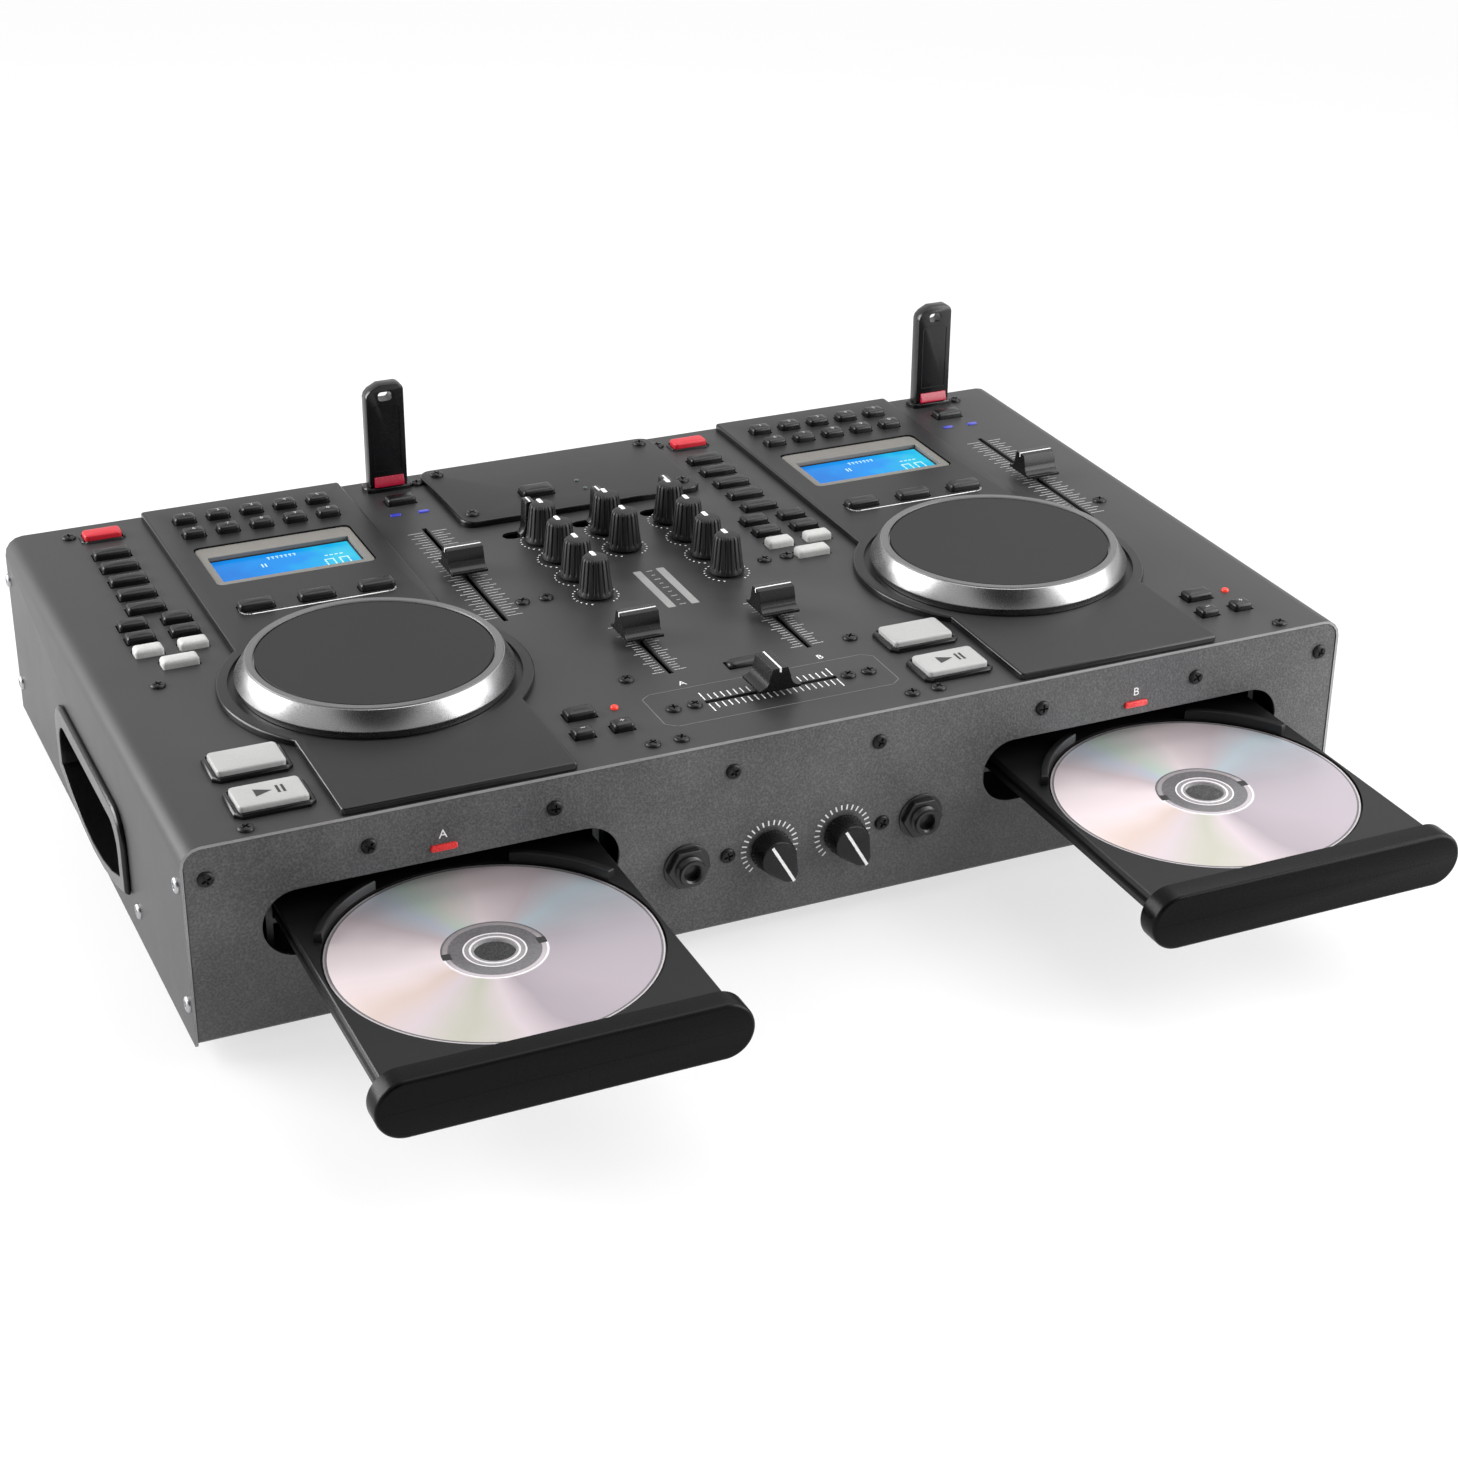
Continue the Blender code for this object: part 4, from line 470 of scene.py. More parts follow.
board_lacquer = finish(
    "board_lacquer", tone(18, 62, 36), tone(30, 88, 52), (0.3, 0.5), 0.0006, 0.00002,
)
control_black = finish(
    "control_black", tone(14, 14, 15), tone(24, 24, 25), (0.5, 0.7), 0.0006, 0.00002,
)
drive_steel = finish(
    "drive_steel", tone(60, 61, 62), tone(90, 91, 92), (0.4, 0.6), 0.0008, 0.00001, Metallic=1.0,
)
bm = bmesh.new()
bm.from_mesh(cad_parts["main_board"].data)
board = new_mesh("circuit_board", bm, board_lacquer, control_black)
for polygon in board.data.polygons:
    if polygon.center.z > BOARD_FACE or polygon.center.y > BACK - SOCKET_ROOM:
        polygon.material_index = 1
settle(board, "case", "board", "main_board")
for deck in "ab":
    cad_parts["cd_drive_" + deck].data.materials[0] = drive_steel


# Cover of the case
# A second steel sheet, bent down at both sides and powder coated smoother than the front, with
# a painted highlight in light grey along its front edge. Black bezels of the hard keys and rims of
# the stick sockets stand up from it.
SHEET_EDGE = 0.0003
# A face looks along an axis where its normal has at least this share of it
SQUARE_ON = 0.9
# Points closer than this are one
SAME_POINT = 0.000001


def soften(made, width, segments=2, angle=35):
    """Rounds the sharp edges of a piece, as moulding, pressing or wear does."""
    bevel = made.modifiers.new("soft_edges", "BEVEL")
    bevel.width, bevel.segments = width, segments
    bevel.limit_method, bevel.angle_limit = "ANGLE", math.radians(angle)
    bevel.harden_normals = True


def node_form(node):
    """The form of a node with its flat faces made whole, ready to be refined."""
    bm = bmesh.new()
    bm.from_mesh(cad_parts[node].data)
    bmesh.ops.remove_doubles(bm, verts=bm.verts, dist=SAME_POINT)
    bmesh.ops.dissolve_limit(
        bm, angle_limit=math.radians(1), verts=bm.verts, edges=bm.edges,
        use_dissolve_boundaries=False,
    )
    return bm


cover_paint = finish(
    "cover_paint", tone(38, 38, 39), tone(50, 50, 51), (0.34, 0.46), 0.0005, 0.00002, gloss=0.3,
)
gloss_black = finish(
    "gloss_black", tone(11, 11, 12), tone(17, 17, 18), (0.16, 0.28), 0.002, 0.000012, gloss=0.3,
)
# A light grey painted highlight for the faces of the cover's front edge
front_edge_highlight = finish(
    "front_edge_highlight", tone(112, 112, 113), tone(150, 150, 151), (0.34, 0.46), 0.0005, 0.00002,
)
cover = new_mesh("case_cover", node_form("top_cover"), cover_paint, gloss_black, front_edge_highlight)
# Bezel faces above the panel take the gloss black, and the front edge's faces a painted highlight
for polygon in cover.data.polygons:
    if polygon.center.z > PANEL_TOP + SEAT_GAP:
        polygon.material_index = 1
    elif polygon.normal.y < -SQUARE_ON and polygon.center.y < FRONT + SEAT_GAP:
        polygon.material_index = 2
soften(cover, SHEET_EDGE)
settle(cover, "case", "case_paint", "top_cover")


# Screws
# Pan-head screws with a cross recess: black ones hold the cover, the mixer plate and the front
# panel, bright ones the sides and the rear. One turned head serves them all.
SCREW_R = 0.0031
SCREW_H = 0.0013
RECESS_LEN = 0.0019
RECESS_HALF_W = 0.00042
RECESS_DEPTH = 0.0010
RECESS_TAPER = 0.7
RECESS_ANGLES = (0, 6, 12.5, 20, 30, 45, 60, 70, 77.5, 84)
# The least distance from an axis that a point of the recess is taken to have
OFF_AXIS = 0.01
# The head's turned form, as shares of its radius and its height
HEAD_SHARES = ((1.0, -0.25), (1.0, 0.35), (0.93, 0.7), (0.78, 0.93), (0.62, 1.0))
# Places on the cover: x from the middle, on both sides of it, and y from the front
COVER_SCREWS = (
    (0.2180, 0.2880), (0.2179, 0.0060), (0.0595, 0.2884), (0.0606, 0.0085), (0.0606, 0.1478),
    (0.0501, 0.1479), (0.0490, 0.0630), (0.0420, 0.0323), (0.0330, 0.0323), (0.0490, 0.0083),
)
# Two more on the cover that have no twin, and those of the mixer plate
LONE_SCREWS = ((-0.2182, 0.1303), (0.2175, 0.1488))
PLATE_SCREWS = ((-0.05, 0.2877), (0.05, 0.2877), (-0.0505, 0.238), (0.0505, 0.238))
# Places along the upper edge of the front and rear panels, and beside the front row
PANEL_SCREWS = (-0.235, -0.175, -0.1035, -0.031, 0.031, 0.1035, 0.175, 0.235)
PANEL_SCREW_Z = 0.0748
FRONT_ROW_SCREWS = (-0.0332, 0.0332)
FRONT_ROW_SCREW_Z = 0.0385
# Places on each side: y from the front, and height
SIDE_SCREWS = (
    (0.2965, 0.0695), (0.2935, 0.0214), (0.0065, 0.0713), (0.0790, 0.0210), (0.0050, 0.0225),
)
# The screws of a row are left at angles of their own: the first one's, and the step to the next
SCREW_TURNS = {"cover": (0, 37), "plate": (20, 50), "front": (25, 31), "rear": (15, 29),
               "front_row": (12, 44), "left": (0, 40), "right": (0, 40)}


def screw_ring(radius, height):
    turns = [math.radians(a + 90 * quarter) for quarter in range(4) for a in RECESS_ANGLES]
    return [(radius * math.cos(t), radius * math.sin(t), height) for t in turns]


def recess_ring(share, height):
    """The outline of the cross recess, drawn in to a share of its size."""
    points = []
    for x, y, z in screw_ring(1.0, height):
        small, large = sorted((abs(x), abs(y)))
        reach = share * min(RECESS_LEN / large, RECESS_HALF_W / max(small, OFF_AXIS))
        points.append((x * reach, y * reach, z))
    return points


def screw_head(name, material):
    bm = bmesh.new()
    rings = [screw_ring(SCREW_R * r, SCREW_H * h) for r, h in HEAD_SHARES]
    rings.append(recess_ring(1.0, SCREW_H))
    loft(bm, rings + [recess_ring(RECESS_TAPER, SCREW_H - RECESS_DEPTH)])
    pattern = new_mesh(name, bm, material)
    head = pattern.data
    bpy.data.objects.remove(pattern)
    return head


def put_screw(row, i, head, place, outward):
    made = bpy.data.objects.new(f"{row}_screw_{i}", head)
    bpy.context.scene.collection.objects.link(made)
    facing = Vector(outward).to_track_quat("Z", "Y").to_matrix().to_4x4()
    first, step = SCREW_TURNS[row]
    spin = Matrix.Rotation(math.radians(first + step * i), 4, "Z")
    made.matrix_world = Matrix.Translation(place) @ facing @ spin
    settle(made, "case", "steel")


black_oxide = finish(
    "black_oxide", tone(18, 18, 19), tone(36, 36, 38), (0.28, 0.45), 0.0003, 0.000008,
    Metallic=0.6,
)
zinc = finish(
    "zinc", tone(150, 152, 155), tone(195, 196, 198), (0.25, 0.4), 0.0004, 0.000008, Metallic=1.0,
)
black_head = screw_head("screw_head_black", black_oxide)
zinc_head = screw_head("screw_head_zinc", zinc)
plate_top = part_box("mixer_plate")[1].z
cover_screws = [(way * x, y) for way in (-1, 1) for x, y in COVER_SCREWS] + list(LONE_SCREWS)
for i, (x, y) in enumerate(cover_screws):
    put_screw("cover", i, black_head, (x, FRONT + y, PANEL_TOP), (0, 0, 1))
for i, (x, y) in enumerate(PLATE_SCREWS):
    put_screw("plate", i, black_head, (x, FRONT + y, plate_top), (0, 0, 1))
for i, x in enumerate(PANEL_SCREWS):
    put_screw("front", i, black_head, (x, base_low.y, PANEL_SCREW_Z), (0, -1, 0))
    put_screw("rear", i, zinc_head, (x, base_high.y, PANEL_SCREW_Z), (0, 1, 0))
for i, x in enumerate(FRONT_ROW_SCREWS):
    put_screw("front_row", i, black_head, (x, base_low.y, FRONT_ROW_SCREW_Z), (0, -1, 0))
for i, (y, z) in enumerate(SIDE_SCREWS):
    for way, side in ((-1, "left"), (1, "right")):
        put_screw(side, i, zinc_head, (way * SIDE, FRONT + y, z), (way, 0, 0))


# Side handles
# Cups of glossy black plastic, moulded with a raised frame round the mouth, and pressed into the
# openings in the cover's sides.
HANDLE_EDGE = 0.0006

for side in ("left", "right"):
    node = "side_handle_" + side
    made = new_mesh("handle_" + side, node_form(node), gloss_black)
    soften(made, HANDLE_EDGE, 3)
    settle(made, "case", "black_plastic", node)


# Deck plates and mixer plate
# Raised plates of satin black paint with eased edges, their sides glossier and painted darker as
# shade. A deck plate has round shoulders about its jog wheel, a well for the wheel with the post
# that it turns on, and openings for its keys.
PLATE_HALF_W = 0.0453
PLATE_T = 0.0030
PLATE_EDGE = 0.0010
PLATE_CORNER = 0.0015
PLATE_SET_BACK = 0.0010
SHOULDER_R = 0.0620
WELL_R = 0.0575
WELL_FLOOR = 0.0012
POST_R = 0.0050
POST_EDGE = 0.0005
KEY_GAP = 0.0004
KEY_EDGE = 0.0009
KEY_END_R = 0.0015
# Points less than this below the highest one belong to a key's top face
KEY_TOP_BAND = 0.0001
WINDOW_R = 0.0030
MIXER_PLATE_R = 0.0060


def key_tops(node):
    """The footprints of a node's keys, back to front: (x, y, width, depth), and their top."""
    bm = node_form(node)
    top = max(vertex.co.z for vertex in bm.verts)
    tops = []
    for face in bm.faces:
        if min(vertex.co.z for vertex in face.verts) > top - KEY_TOP_BAND:
            xs, ys = [v.co.x for v in face.verts], [v.co.y for v in face.verts]
            tops.append((
                (min(xs) + max(xs)) / 2, (min(ys) + max(ys)) / 2,
                max(xs) - min(xs) + 2 * KEY_EDGE, max(ys) - min(ys) + 2 * KEY_EDGE,
            ))
    bm.free()
    return sorted(tops, key=lambda key: (-round(key[1], 3), key[0])), top


def key_openings(bm, node):
    for x, y, width, depth in key_tops(node)[0]:
        hole = rounded(x, y, width + 2 * KEY_GAP, depth + 2 * KEY_GAP, KEY_END_R)
        rise(bm, hole, PANEL_TOP - SHEET, PANEL_TOP + 2 * PLATE_T)


def gloss_and_shade_the_edges(plate):
    # Painted shade: faces that don't look up take a darker, glossier black than the plate's top
    for polygon in plate.data.polygons:
        if abs(polygon.normal.z) < SQUARE_ON:
            polygon.material_index = 1


plate_paint = finish(
    "plate_paint", tone(25, 25, 26), tone(33, 33, 34), (0.34, 0.46), 0.0005, 0.000015, gloss=0.24,
)
low = PANEL_TOP + SEAT_GAP
for deck in "ab":
    jog, high = middle("jog_wheel_" + deck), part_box("deck_plate_" + deck)[1].z
    f, b, x = FRONT + PLATE_SET_BACK, BACK - PLATE_SET_BACK, jog.x
    left, right = x - PLATE_HALF_W, x + PLATE_HALF_W
    swing = math.degrees(math.acos(PLATE_HALF_W / SHOULDER_R))
    outline = arc(left + PLATE_CORNER, f + PLATE_CORNER, PLATE_CORNER, 180, 270, 4)
    outline += arc(right - PLATE_CORNER, f + PLATE_CORNER, PLATE_CORNER, 270, 360, 4)
    outline += arc(x, jog.y, SHOULDER_R, -swing, swing, 40)
    outline += arc(right - PLATE_CORNER, b - PLATE_CORNER, PLATE_CORNER, 0, 90, 4)
    outline += arc(left + PLATE_CORNER, b - PLATE_CORNER, PLATE_CORNER, 90, 180, 4)
    outline += arc(x, jog.y, SHOULDER_R, 180 - swing, 180 + swing, 40)
    bm = bmesh.new()
    rise(bm, outline, low, PANEL_TOP + PLATE_T, PLATE_EDGE)
    plate = new_mesh("plate_of_deck_" + deck, bm, plate_paint, gloss_black)
    holes = bmesh.new()
    rise(holes, circle(x, jog.y, WELL_R, 120), low + WELL_FLOOR, high)
    window, (near, far) = middle("display_" + deck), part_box("display_" + deck)
    width, depth = far.x - near.x + 2 * SEAT_GAP, far.y - near.y + 2 * SEAT_GAP
    rise(holes, rounded(window.x, window.y, width, depth, WINDOW_R), low - SHEET, high)
    key_openings(holes, "deck_keys_" + deck)
    cut_away(plate, holes)
    gloss_and_shade_the_edges(plate)
    settle(plate, "case", "plate_paint", "deck_plate_" + deck)
    bm = bmesh.new()
    rise(bm, circle(x, jog.y, POST_R, 32), low + WELL_FLOOR / 2, high, POST_EDGE)
    settle(new_mesh("wheel_post_" + deck, bm, plate_paint), "case", "plate_paint")

near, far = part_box("mixer_plate")
outline = rounded(0, (near.y + far.y) / 2, far.x - near.x, far.y - near.y, MIXER_PLATE_R, 8)
bm = bmesh.new()
rise(bm, outline, near.z, far.z, PLATE_EDGE)
plate = new_mesh("plate_of_mixer", bm, plate_paint, gloss_black)
holes = bmesh.new()
key_openings(holes, "mixer_key")
cut_away(plate, holes)
gloss_and_shade_the_edges(plate)
settle(plate, "case", "plate_paint", "mixer_plate")


# Displays
# Under each window lies a grey moulded frame, with a black gasket in it round a glass panel that
# is lit blue from behind and shows pale segments.
LCD_W = 0.0620
LCD_D = 0.0265
LCD_CORNER_R = 0.0005
LCD_T = 0.0003
LCD_LIFT = 0.0001
LCD_PLAY = 0.0003
LCD_BEFORE = 0.0042
LCD_DROP = 0.0025
# Brightness of the panel's light, how far its patches move its colours, their scale, and the
# scale of those in other lit pieces
LCD_GLOW = 0.95
LCD_DRIFT = 0.14
LCD_PATCHES = 70.0
LIGHT_PATCHES = 60.0
FRAME_EDGE = 0.0003
GASKET = 0.0007
GASKET_LOW = 0.0002
GASKET_HIGH = 0.0008
SEGMENT_W = 0.0006
SEGMENT_T = 0.0001
# Rows of marks: how many, x of the first, step, y, width and height
SEGMENT_ROWS = (
    (2, -0.0105, 0.0015, 0.0010, 0.0006, 0.0034), (7, -0.0060, 0.0019, 0.0084, 0.0012, 0.0008),
    (7, -0.0060, 0.0019, 0.0070, 0.0005, 0.0012), (4, 0.0176, 0.0022, 0.0010, 0.0014, 0.0008),
)
DIGIT_W = 0.0036
DIGIT_H = 0.0066
DIGIT_STEP = 0.0064
DIGIT_LEFT = 0.0158
DIGIT_FOOT = 0.0036
DIGITS = 2
# Both ends of each segment of a zero, in half heights and whole widths of the digit
ZERO_SEGMENTS = (
    ((0, 2), (1, 2)), ((0, 0), (1, 0)), ((0, 1), (0, 2)), ((0, 0), (0, 1)),
    ((1, 1), (1, 2)), ((1, 0), (1, 1)),
)


def block(bm, x, y, z, width, depth, height):
    """A rectangular block standing on z, centred on x and y."""
    u, v = width / 2, depth / 2
    rise(bm, [(x - u, y - v), (x + u, y - v), (x + u, y + v), (x - u, y + v)], z, z + height)


def glowing(name, own, strength, low, high):
    """A lit surface that runs from one colour to another over its patches."""
    made, tree = blank_material(name)
    place = add(tree, "TexCoord", {}).outputs["Object"]
    drift = add(tree, "TexNoise", {
        "Vector": place, "Scale": LIGHT_PATCHES, "Detail": 3.0,
    }).outputs["Fac"]
    shader = add(tree, "BsdfPrincipled", {
        "Base Color": own, "Roughness": 0.25, "Emission Strength": strength,
        "Emission Color": ramp(tree, drift, (NOISE_LOW, low), (NOISE_HIGH, high)),
    })
    add(tree, "OutputMaterial", {"Surface": shader.outputs["BSDF"]})
    return made


display_frame = finish(
    "display_frame", tone(97, 95, 91), tone(123, 120, 116), (0.4, 0.55), 0.0005, 0.00002,
    gloss=0.3,
)
lcd_blue, tree = blank_material("lcd_blue")
place = add(tree, "TexCoord", {}).outputs["Object"]
patches = add(tree, "TexNoise", {
    "Vector": place, "Scale": LCD_PATCHES, "Detail": 1.0,
}).outputs["Fac"]
across = add(tree, "SeparateXYZ", {"Vector": place}).outputs["X"]
along = add(tree, "MapRange", {
    "Value": across, "From Min": -LCD_W / 2, "From Max": LCD_W / 2,
}).outputs[0]
drift = add(tree, "MapRange", {
    "Value": patches, "From Min": NOISE_LOW, "From Max": NOISE_HIGH,
    "To Min": -LCD_DRIFT, "To Max": LCD_DRIFT,
}).outputs[0]
along = add(tree, "Math", {0: along, 1: drift}, operation="ADD").outputs[0]
glow = ramp(tree, along, (0.0, tone(18, 128, 226)), (0.3, tone(10, 146, 240)),
            (0.55, tone(6, 154, 246)), (0.8, tone(18, 184, 242)), (1.0, tone(56, 208, 240)))
shader = add(tree, "BsdfPrincipled", {
    "Base Color": tone(4, 14, 26), "Roughness": 0.2, "Emission Color": glow,
    "Emission Strength": LCD_GLOW, "Specular IOR Level": 0.06,
})
add(tree, "OutputMaterial", {"Surface": shader.outputs["BSDF"]})
pale_segments = glowing("pale_segments", tone(60, 90, 110), 0.9, tone(180, 228, 246),
                        tone(214, 242, 250))
for deck in "ab":
    node = "display_" + deck
    low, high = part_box(node)
    made = new_mesh("display_frame_" + deck, node_form(node), display_frame)
    soften(made, FRAME_EDGE)
    settle(made, "case", "display", node)
    place = ((low.x + high.x) / 2, low.y + LCD_BEFORE + LCD_D / 2, high.z - LCD_DROP)
    bm = bmesh.new()
    block(bm, 0, 0, LCD_LIFT, LCD_W - LCD_PLAY, LCD_D - LCD_PLAY, LCD_T)
    panel = new_mesh("lcd_panel_" + deck, bm, lcd_blue)
    panel.location = place
    settle(panel, "case", "display")
    bm = bmesh.new()
    outer = rounded(0, 0, LCD_W, LCD_D, LCD_CORNER_R)
    hole = inset(outer, GASKET)
    loft(bm, [[(u, v, z) for u, v in ring] for ring, z in (
        (outer, GASKET_LOW), (outer, GASKET_HIGH), (hole, GASKET_HIGH), (hole, GASKET_LOW),
    )], closed=True)
    gasket = new_mesh("lcd_gasket_" + deck, bm, control_black)
    gasket.location = place
    settle(gasket, "case", "black_plastic")
    bm = bmesh.new()
    for digit in range(DIGITS):
        left, foot = DIGIT_LEFT + digit * DIGIT_STEP, DIGIT_FOOT - LCD_D / 2
        for (u0, v0), (u1, v1) in ZERO_SEGMENTS:
            wide = DIGIT_W + SEGMENT_W if u0 != u1 else SEGMENT_W
            tall = DIGIT_H / 2 - SEGMENT_W if v0 != v1 else SEGMENT_W
            block(bm, left + (u0 + u1) / 2 * DIGIT_W, foot + (v0 + v1) / 4 * DIGIT_H, 0,
                  wide, tall, SEGMENT_T)
    for count, first, step, y, width, height in SEGMENT_ROWS:
        for i in range(count):
            block(bm, first + i * step, y, 0, width, height, SEGMENT_T)
    signs = new_mesh("lcd_segments_" + deck, bm, pale_segments)
    signs.location = (place[0], place[1], place[2] + LCD_LIFT + LCD_T)
    settle(signs, "case", "display")


# Jog wheels
# A turned metal wheel with a satin conical flank, on a hub that sits on the post of the well. A
# flat grey band runs round its rim, and a matte black pad is let into its face.
WHEEL_STEPS = 144
WHEEL_FLANK = 0.0043
WHEEL_SKIRT_IN = 0.0013
WHEEL_LIP = 0.0046
RIM_W = 0.0034
RIM_DROP = 0.0004
RIM_EDGE = 0.0003
RIM_OUT = 0.0001
BAND_SUNK = 0.0006
BAND_IN = 0.0002
LIP_EDGE = 0.0003
LIP_STEP = 0.0002
LIP_H = 0.0008
HUB_R = 0.0085
BORE_R = 0.0053
WEB_T = 0.0018
SKIRT_T = 0.0020
PAD_GAP = 0.0006
PAD_EDGE = 0.0003
# The pad's inner rings: a share of its radius, and the small one at its middle
PAD_RING = 0.6
PAD_MIDDLE_R = 0.0010

wheel_metal = finish(
    "wheel_metal", tone(130, 130, 131), tone(156, 156, 157), (0.24, 0.34), 0.0004, 0.00002,
    patch=0.03, Metallic=1.0,
)
rim_paint = finish(
    "rim_paint", tone(74, 74, 75), tone(96, 96, 97), (0.3, 0.42), 0.0004, 0.00001,
)
pad_paint = finish(
    "pad_paint", tone(29, 29, 30), tone(37, 37, 38), (0.5, 0.62), 0.0004, 0.00001, patch=0.06,
    gloss=0.18,
)
for deck in "ab":
    low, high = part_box("jog_wheel_" + deck)
    centre = middle("jog_wheel_" + deck)
    radius, top, foot = (high.x - low.x) / 2, high.z, low.z
    rim, skirt, lip = radius - WHEEL_FLANK, radius - WHEEL_SKIRT_IN, PANEL_TOP + WHEEL_LIP
    seat_r, seat = rim - RIM_W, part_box("jog_pad_" + deck)[0].z
    bm = bmesh.new()
    turn(bm, [
        (skirt, foot), (skirt, lip - LIP_STEP), (radius - LIP_EDGE, lip),
        (radius, lip + LIP_EDGE), (radius, lip + LIP_H), (rim + RIM_OUT, top - BAND_SUNK),
        (rim - RIM_EDGE, top - RIM_DROP), (seat_r, top - BAND_SUNK), (seat_r, seat - SEAT_GAP),
        (BORE_R, seat - SEAT_GAP), (BORE_R, foot), (HUB_R, foot), (HUB_R, seat - WEB_T),
        (skirt - SKIRT_T, seat - WEB_T), (skirt - SKIRT_T, foot),
    ], WHEEL_STEPS, closed=True)
    wheel = new_mesh("wheel_" + deck, bm, wheel_metal)
    band_r = rim - BAND_IN
    bm = bmesh.new()
    turn(bm, [
        (band_r, top - BAND_SUNK), (band_r, top - RIM_DROP), (band_r - RIM_EDGE, top),
        (seat_r + RIM_DROP, top), (seat_r, top - RIM_DROP), (seat_r, top - BAND_SUNK),
    ], WHEEL_STEPS, closed=True)
    band = new_mesh("wheel_rim_" + deck, bm, rim_paint)
    pad_r, face = seat_r - PAD_GAP, top - SEAT_GAP
    bm = bmesh.new()
    turn(bm, [(pad_r, seat), (pad_r, face - PAD_EDGE), (pad_r - PAD_EDGE, face),
              (pad_r * PAD_RING, face), (PAD_MIDDLE_R, face)], WHEEL_STEPS)
    pad = new_mesh("wheel_pad_" + deck, bm, pad_paint)
    for piece in (wheel, band, pad):
        piece.location = (centre.x, centre.y, 0)
    settle(wheel, "jog_" + deck, "wheel_metal", "jog_wheel_" + deck)
    settle(band, "jog_" + deck, "wheel_metal")
    settle(pad, "jog_" + deck, "wheel_pad", "jog_pad_" + deck)


# Rubber keys
# Each mat's keys are glossy black loaves with round ends. The three front ones of every function
# column are white. The number keys carry their numbers, and the bend keys a minus and a plus.
KEY_ROUND = 0.0016
FADER_KEY_END_R = 0.0028
KEY_CROWN = 0.00025
SHARPEST_R = 0.0002
# The domed top: shares of the cap's flat size, and of the dome's height
KEY_DOME = ((0.8, 0.55), (0.5, 0.9), (0.2, 1.0))
MARK_H = 0.00006
NUMBER_SIZE = 0.0030
SIGN_LEN = 0.0018
SIGN_W = 0.0004


def key_cap(bm, key, radius, low, high, edge, crown):
    """A cap with round corners, a rounded top edge and a slightly domed top."""
    x, y, width, depth = key
    rings = [[(u, v, low) for u, v in rounded(x, y, width, depth, radius)]]
    for angle in (0, 22, 45, 67, 90):
        drawn_in = edge * (1 - math.cos(math.radians(angle)))
        corner = max(radius - drawn_in, SHARPEST_R)
        points = rounded(x, y, width - 2 * drawn_in, depth - 2 * drawn_in, corner)
        height = high - crown - edge * (1 - math.sin(math.radians(angle)))
        rings.append([(u, v, height) for u, v in points])
    for share, up in KEY_DOME:
        across, along = (width - 2 * edge) * share, (depth - 2 * edge) * share
        points = rounded(x, y, across, along, SHARPEST_R)
        rings.append([(u, v, high - crown + crown * up) for u, v in points])
    loft(bm, rings)


def print_text(bm, text, place, size, upright=False):
    """Letters as thin solids that lie flat, or stand on the front panel."""
    curve = bpy.data.curves.new("letters", "FONT")
    curve.body, curve.size, curve.extrude = text, size, MARK_H / 2
    curve.align_x, curve.align_y = "CENTER", "CENTER"
    letters = bpy.data.objects.new("letters", curve)
    bpy.context.scene.collection.objects.link(letters)
    graph = bpy.context.evaluated_depsgraph_get()
    mesh = bpy.data.meshes.new_from_object(letters.evaluated_get(graph))
    facing = Matrix.Rotation(math.pi / 2, 4, "X") if upright else Matrix()
    mesh.transform(Matrix.Translation(place) @ facing)
    bm.from_mesh(mesh)
    bpy.data.objects.remove(letters)
    bpy.data.meshes.remove(mesh)


black_rubber = finish(
    "black_rubber", tone(10, 10, 11), tone(18, 18, 19), (0.24, 0.36), 0.0007, 0.000012,
    patch=0.01, gloss=0.3,
)
white_rubber = finish(
    "white_rubber", tone(172, 172, 170), tone(196, 196, 194), (0.45, 0.6), 0.0007, 0.000012,
    patch=0.01, gloss=0.3,
)
key_print = finish(
    "key_print", tone(150, 150, 150), tone(190, 190, 190), (0.5, 0.6), 0.0004, 0.000004,
)
mats = [f"{mat}_{deck}" for deck in "ab"
        for mat in ("deck_keys", "function_keys", "pitch_keys", "source_key")]
for node in mats + ["mixer_key", "fader_key"]:
    keys, top = key_tops(node)
    end_r = FADER_KEY_END_R if node == "fader_key" else KEY_END_R
    bm = bmesh.new()
    for key in keys:
        key_cap(bm, key, end_r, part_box(node)[0].z, top, KEY_ROUND, KEY_CROWN)
    made = new_mesh("rubber_" + node, bm, black_rubber, white_rubber)
    if node.startswith("function_keys"):
        for polygon in made.data.polygons:
            if polygon.center.y < keys[-3][1] + keys[-3][3] / 2:
                polygon.material_index = 1
    settle(made, node, "black_rubber", node)
    bm = bmesh.new()
    if node.startswith("deck_keys"):
        for number, (x, y, _, _) in zip("1234567890", keys):
            print_text(bm, number, (x, y, top), NUMBER_SIZE)
    if node.startswith("pitch_keys"):
        (minus_x, y, _, _), (plus_x, _, _, _) = keys[1:3]
        block(bm, minus_x, y, top, SIGN_LEN, SIGN_W, MARK_H)
        block(bm, plus_x, y, top, SIGN_LEN, SIGN_W, MARK_H)
        block(bm, plus_x, y, top, SIGN_W, SIGN_LEN, MARK_H)
    if bm.faces:
        settle(new_mesh("print_on_" + node, bm, key_print), node, "black_rubber")
    else:
        bm.free()


# Hard keys
# The cue and play caps are light grey plastic, and the eject cap is red. The play cap carries
# its printed sign.
CAP_CORNER_R = 0.0018
CAP_EDGE = 0.0008
PLAY_TRIANGLE = ((-0.0052, -0.0028), (0.0012, 0.0), (-0.0052, 0.0028))
PLAY_BARS = (0.0034, 0.0054)
PLAY_BAR_SIZE = (0.0010, 0.0056)

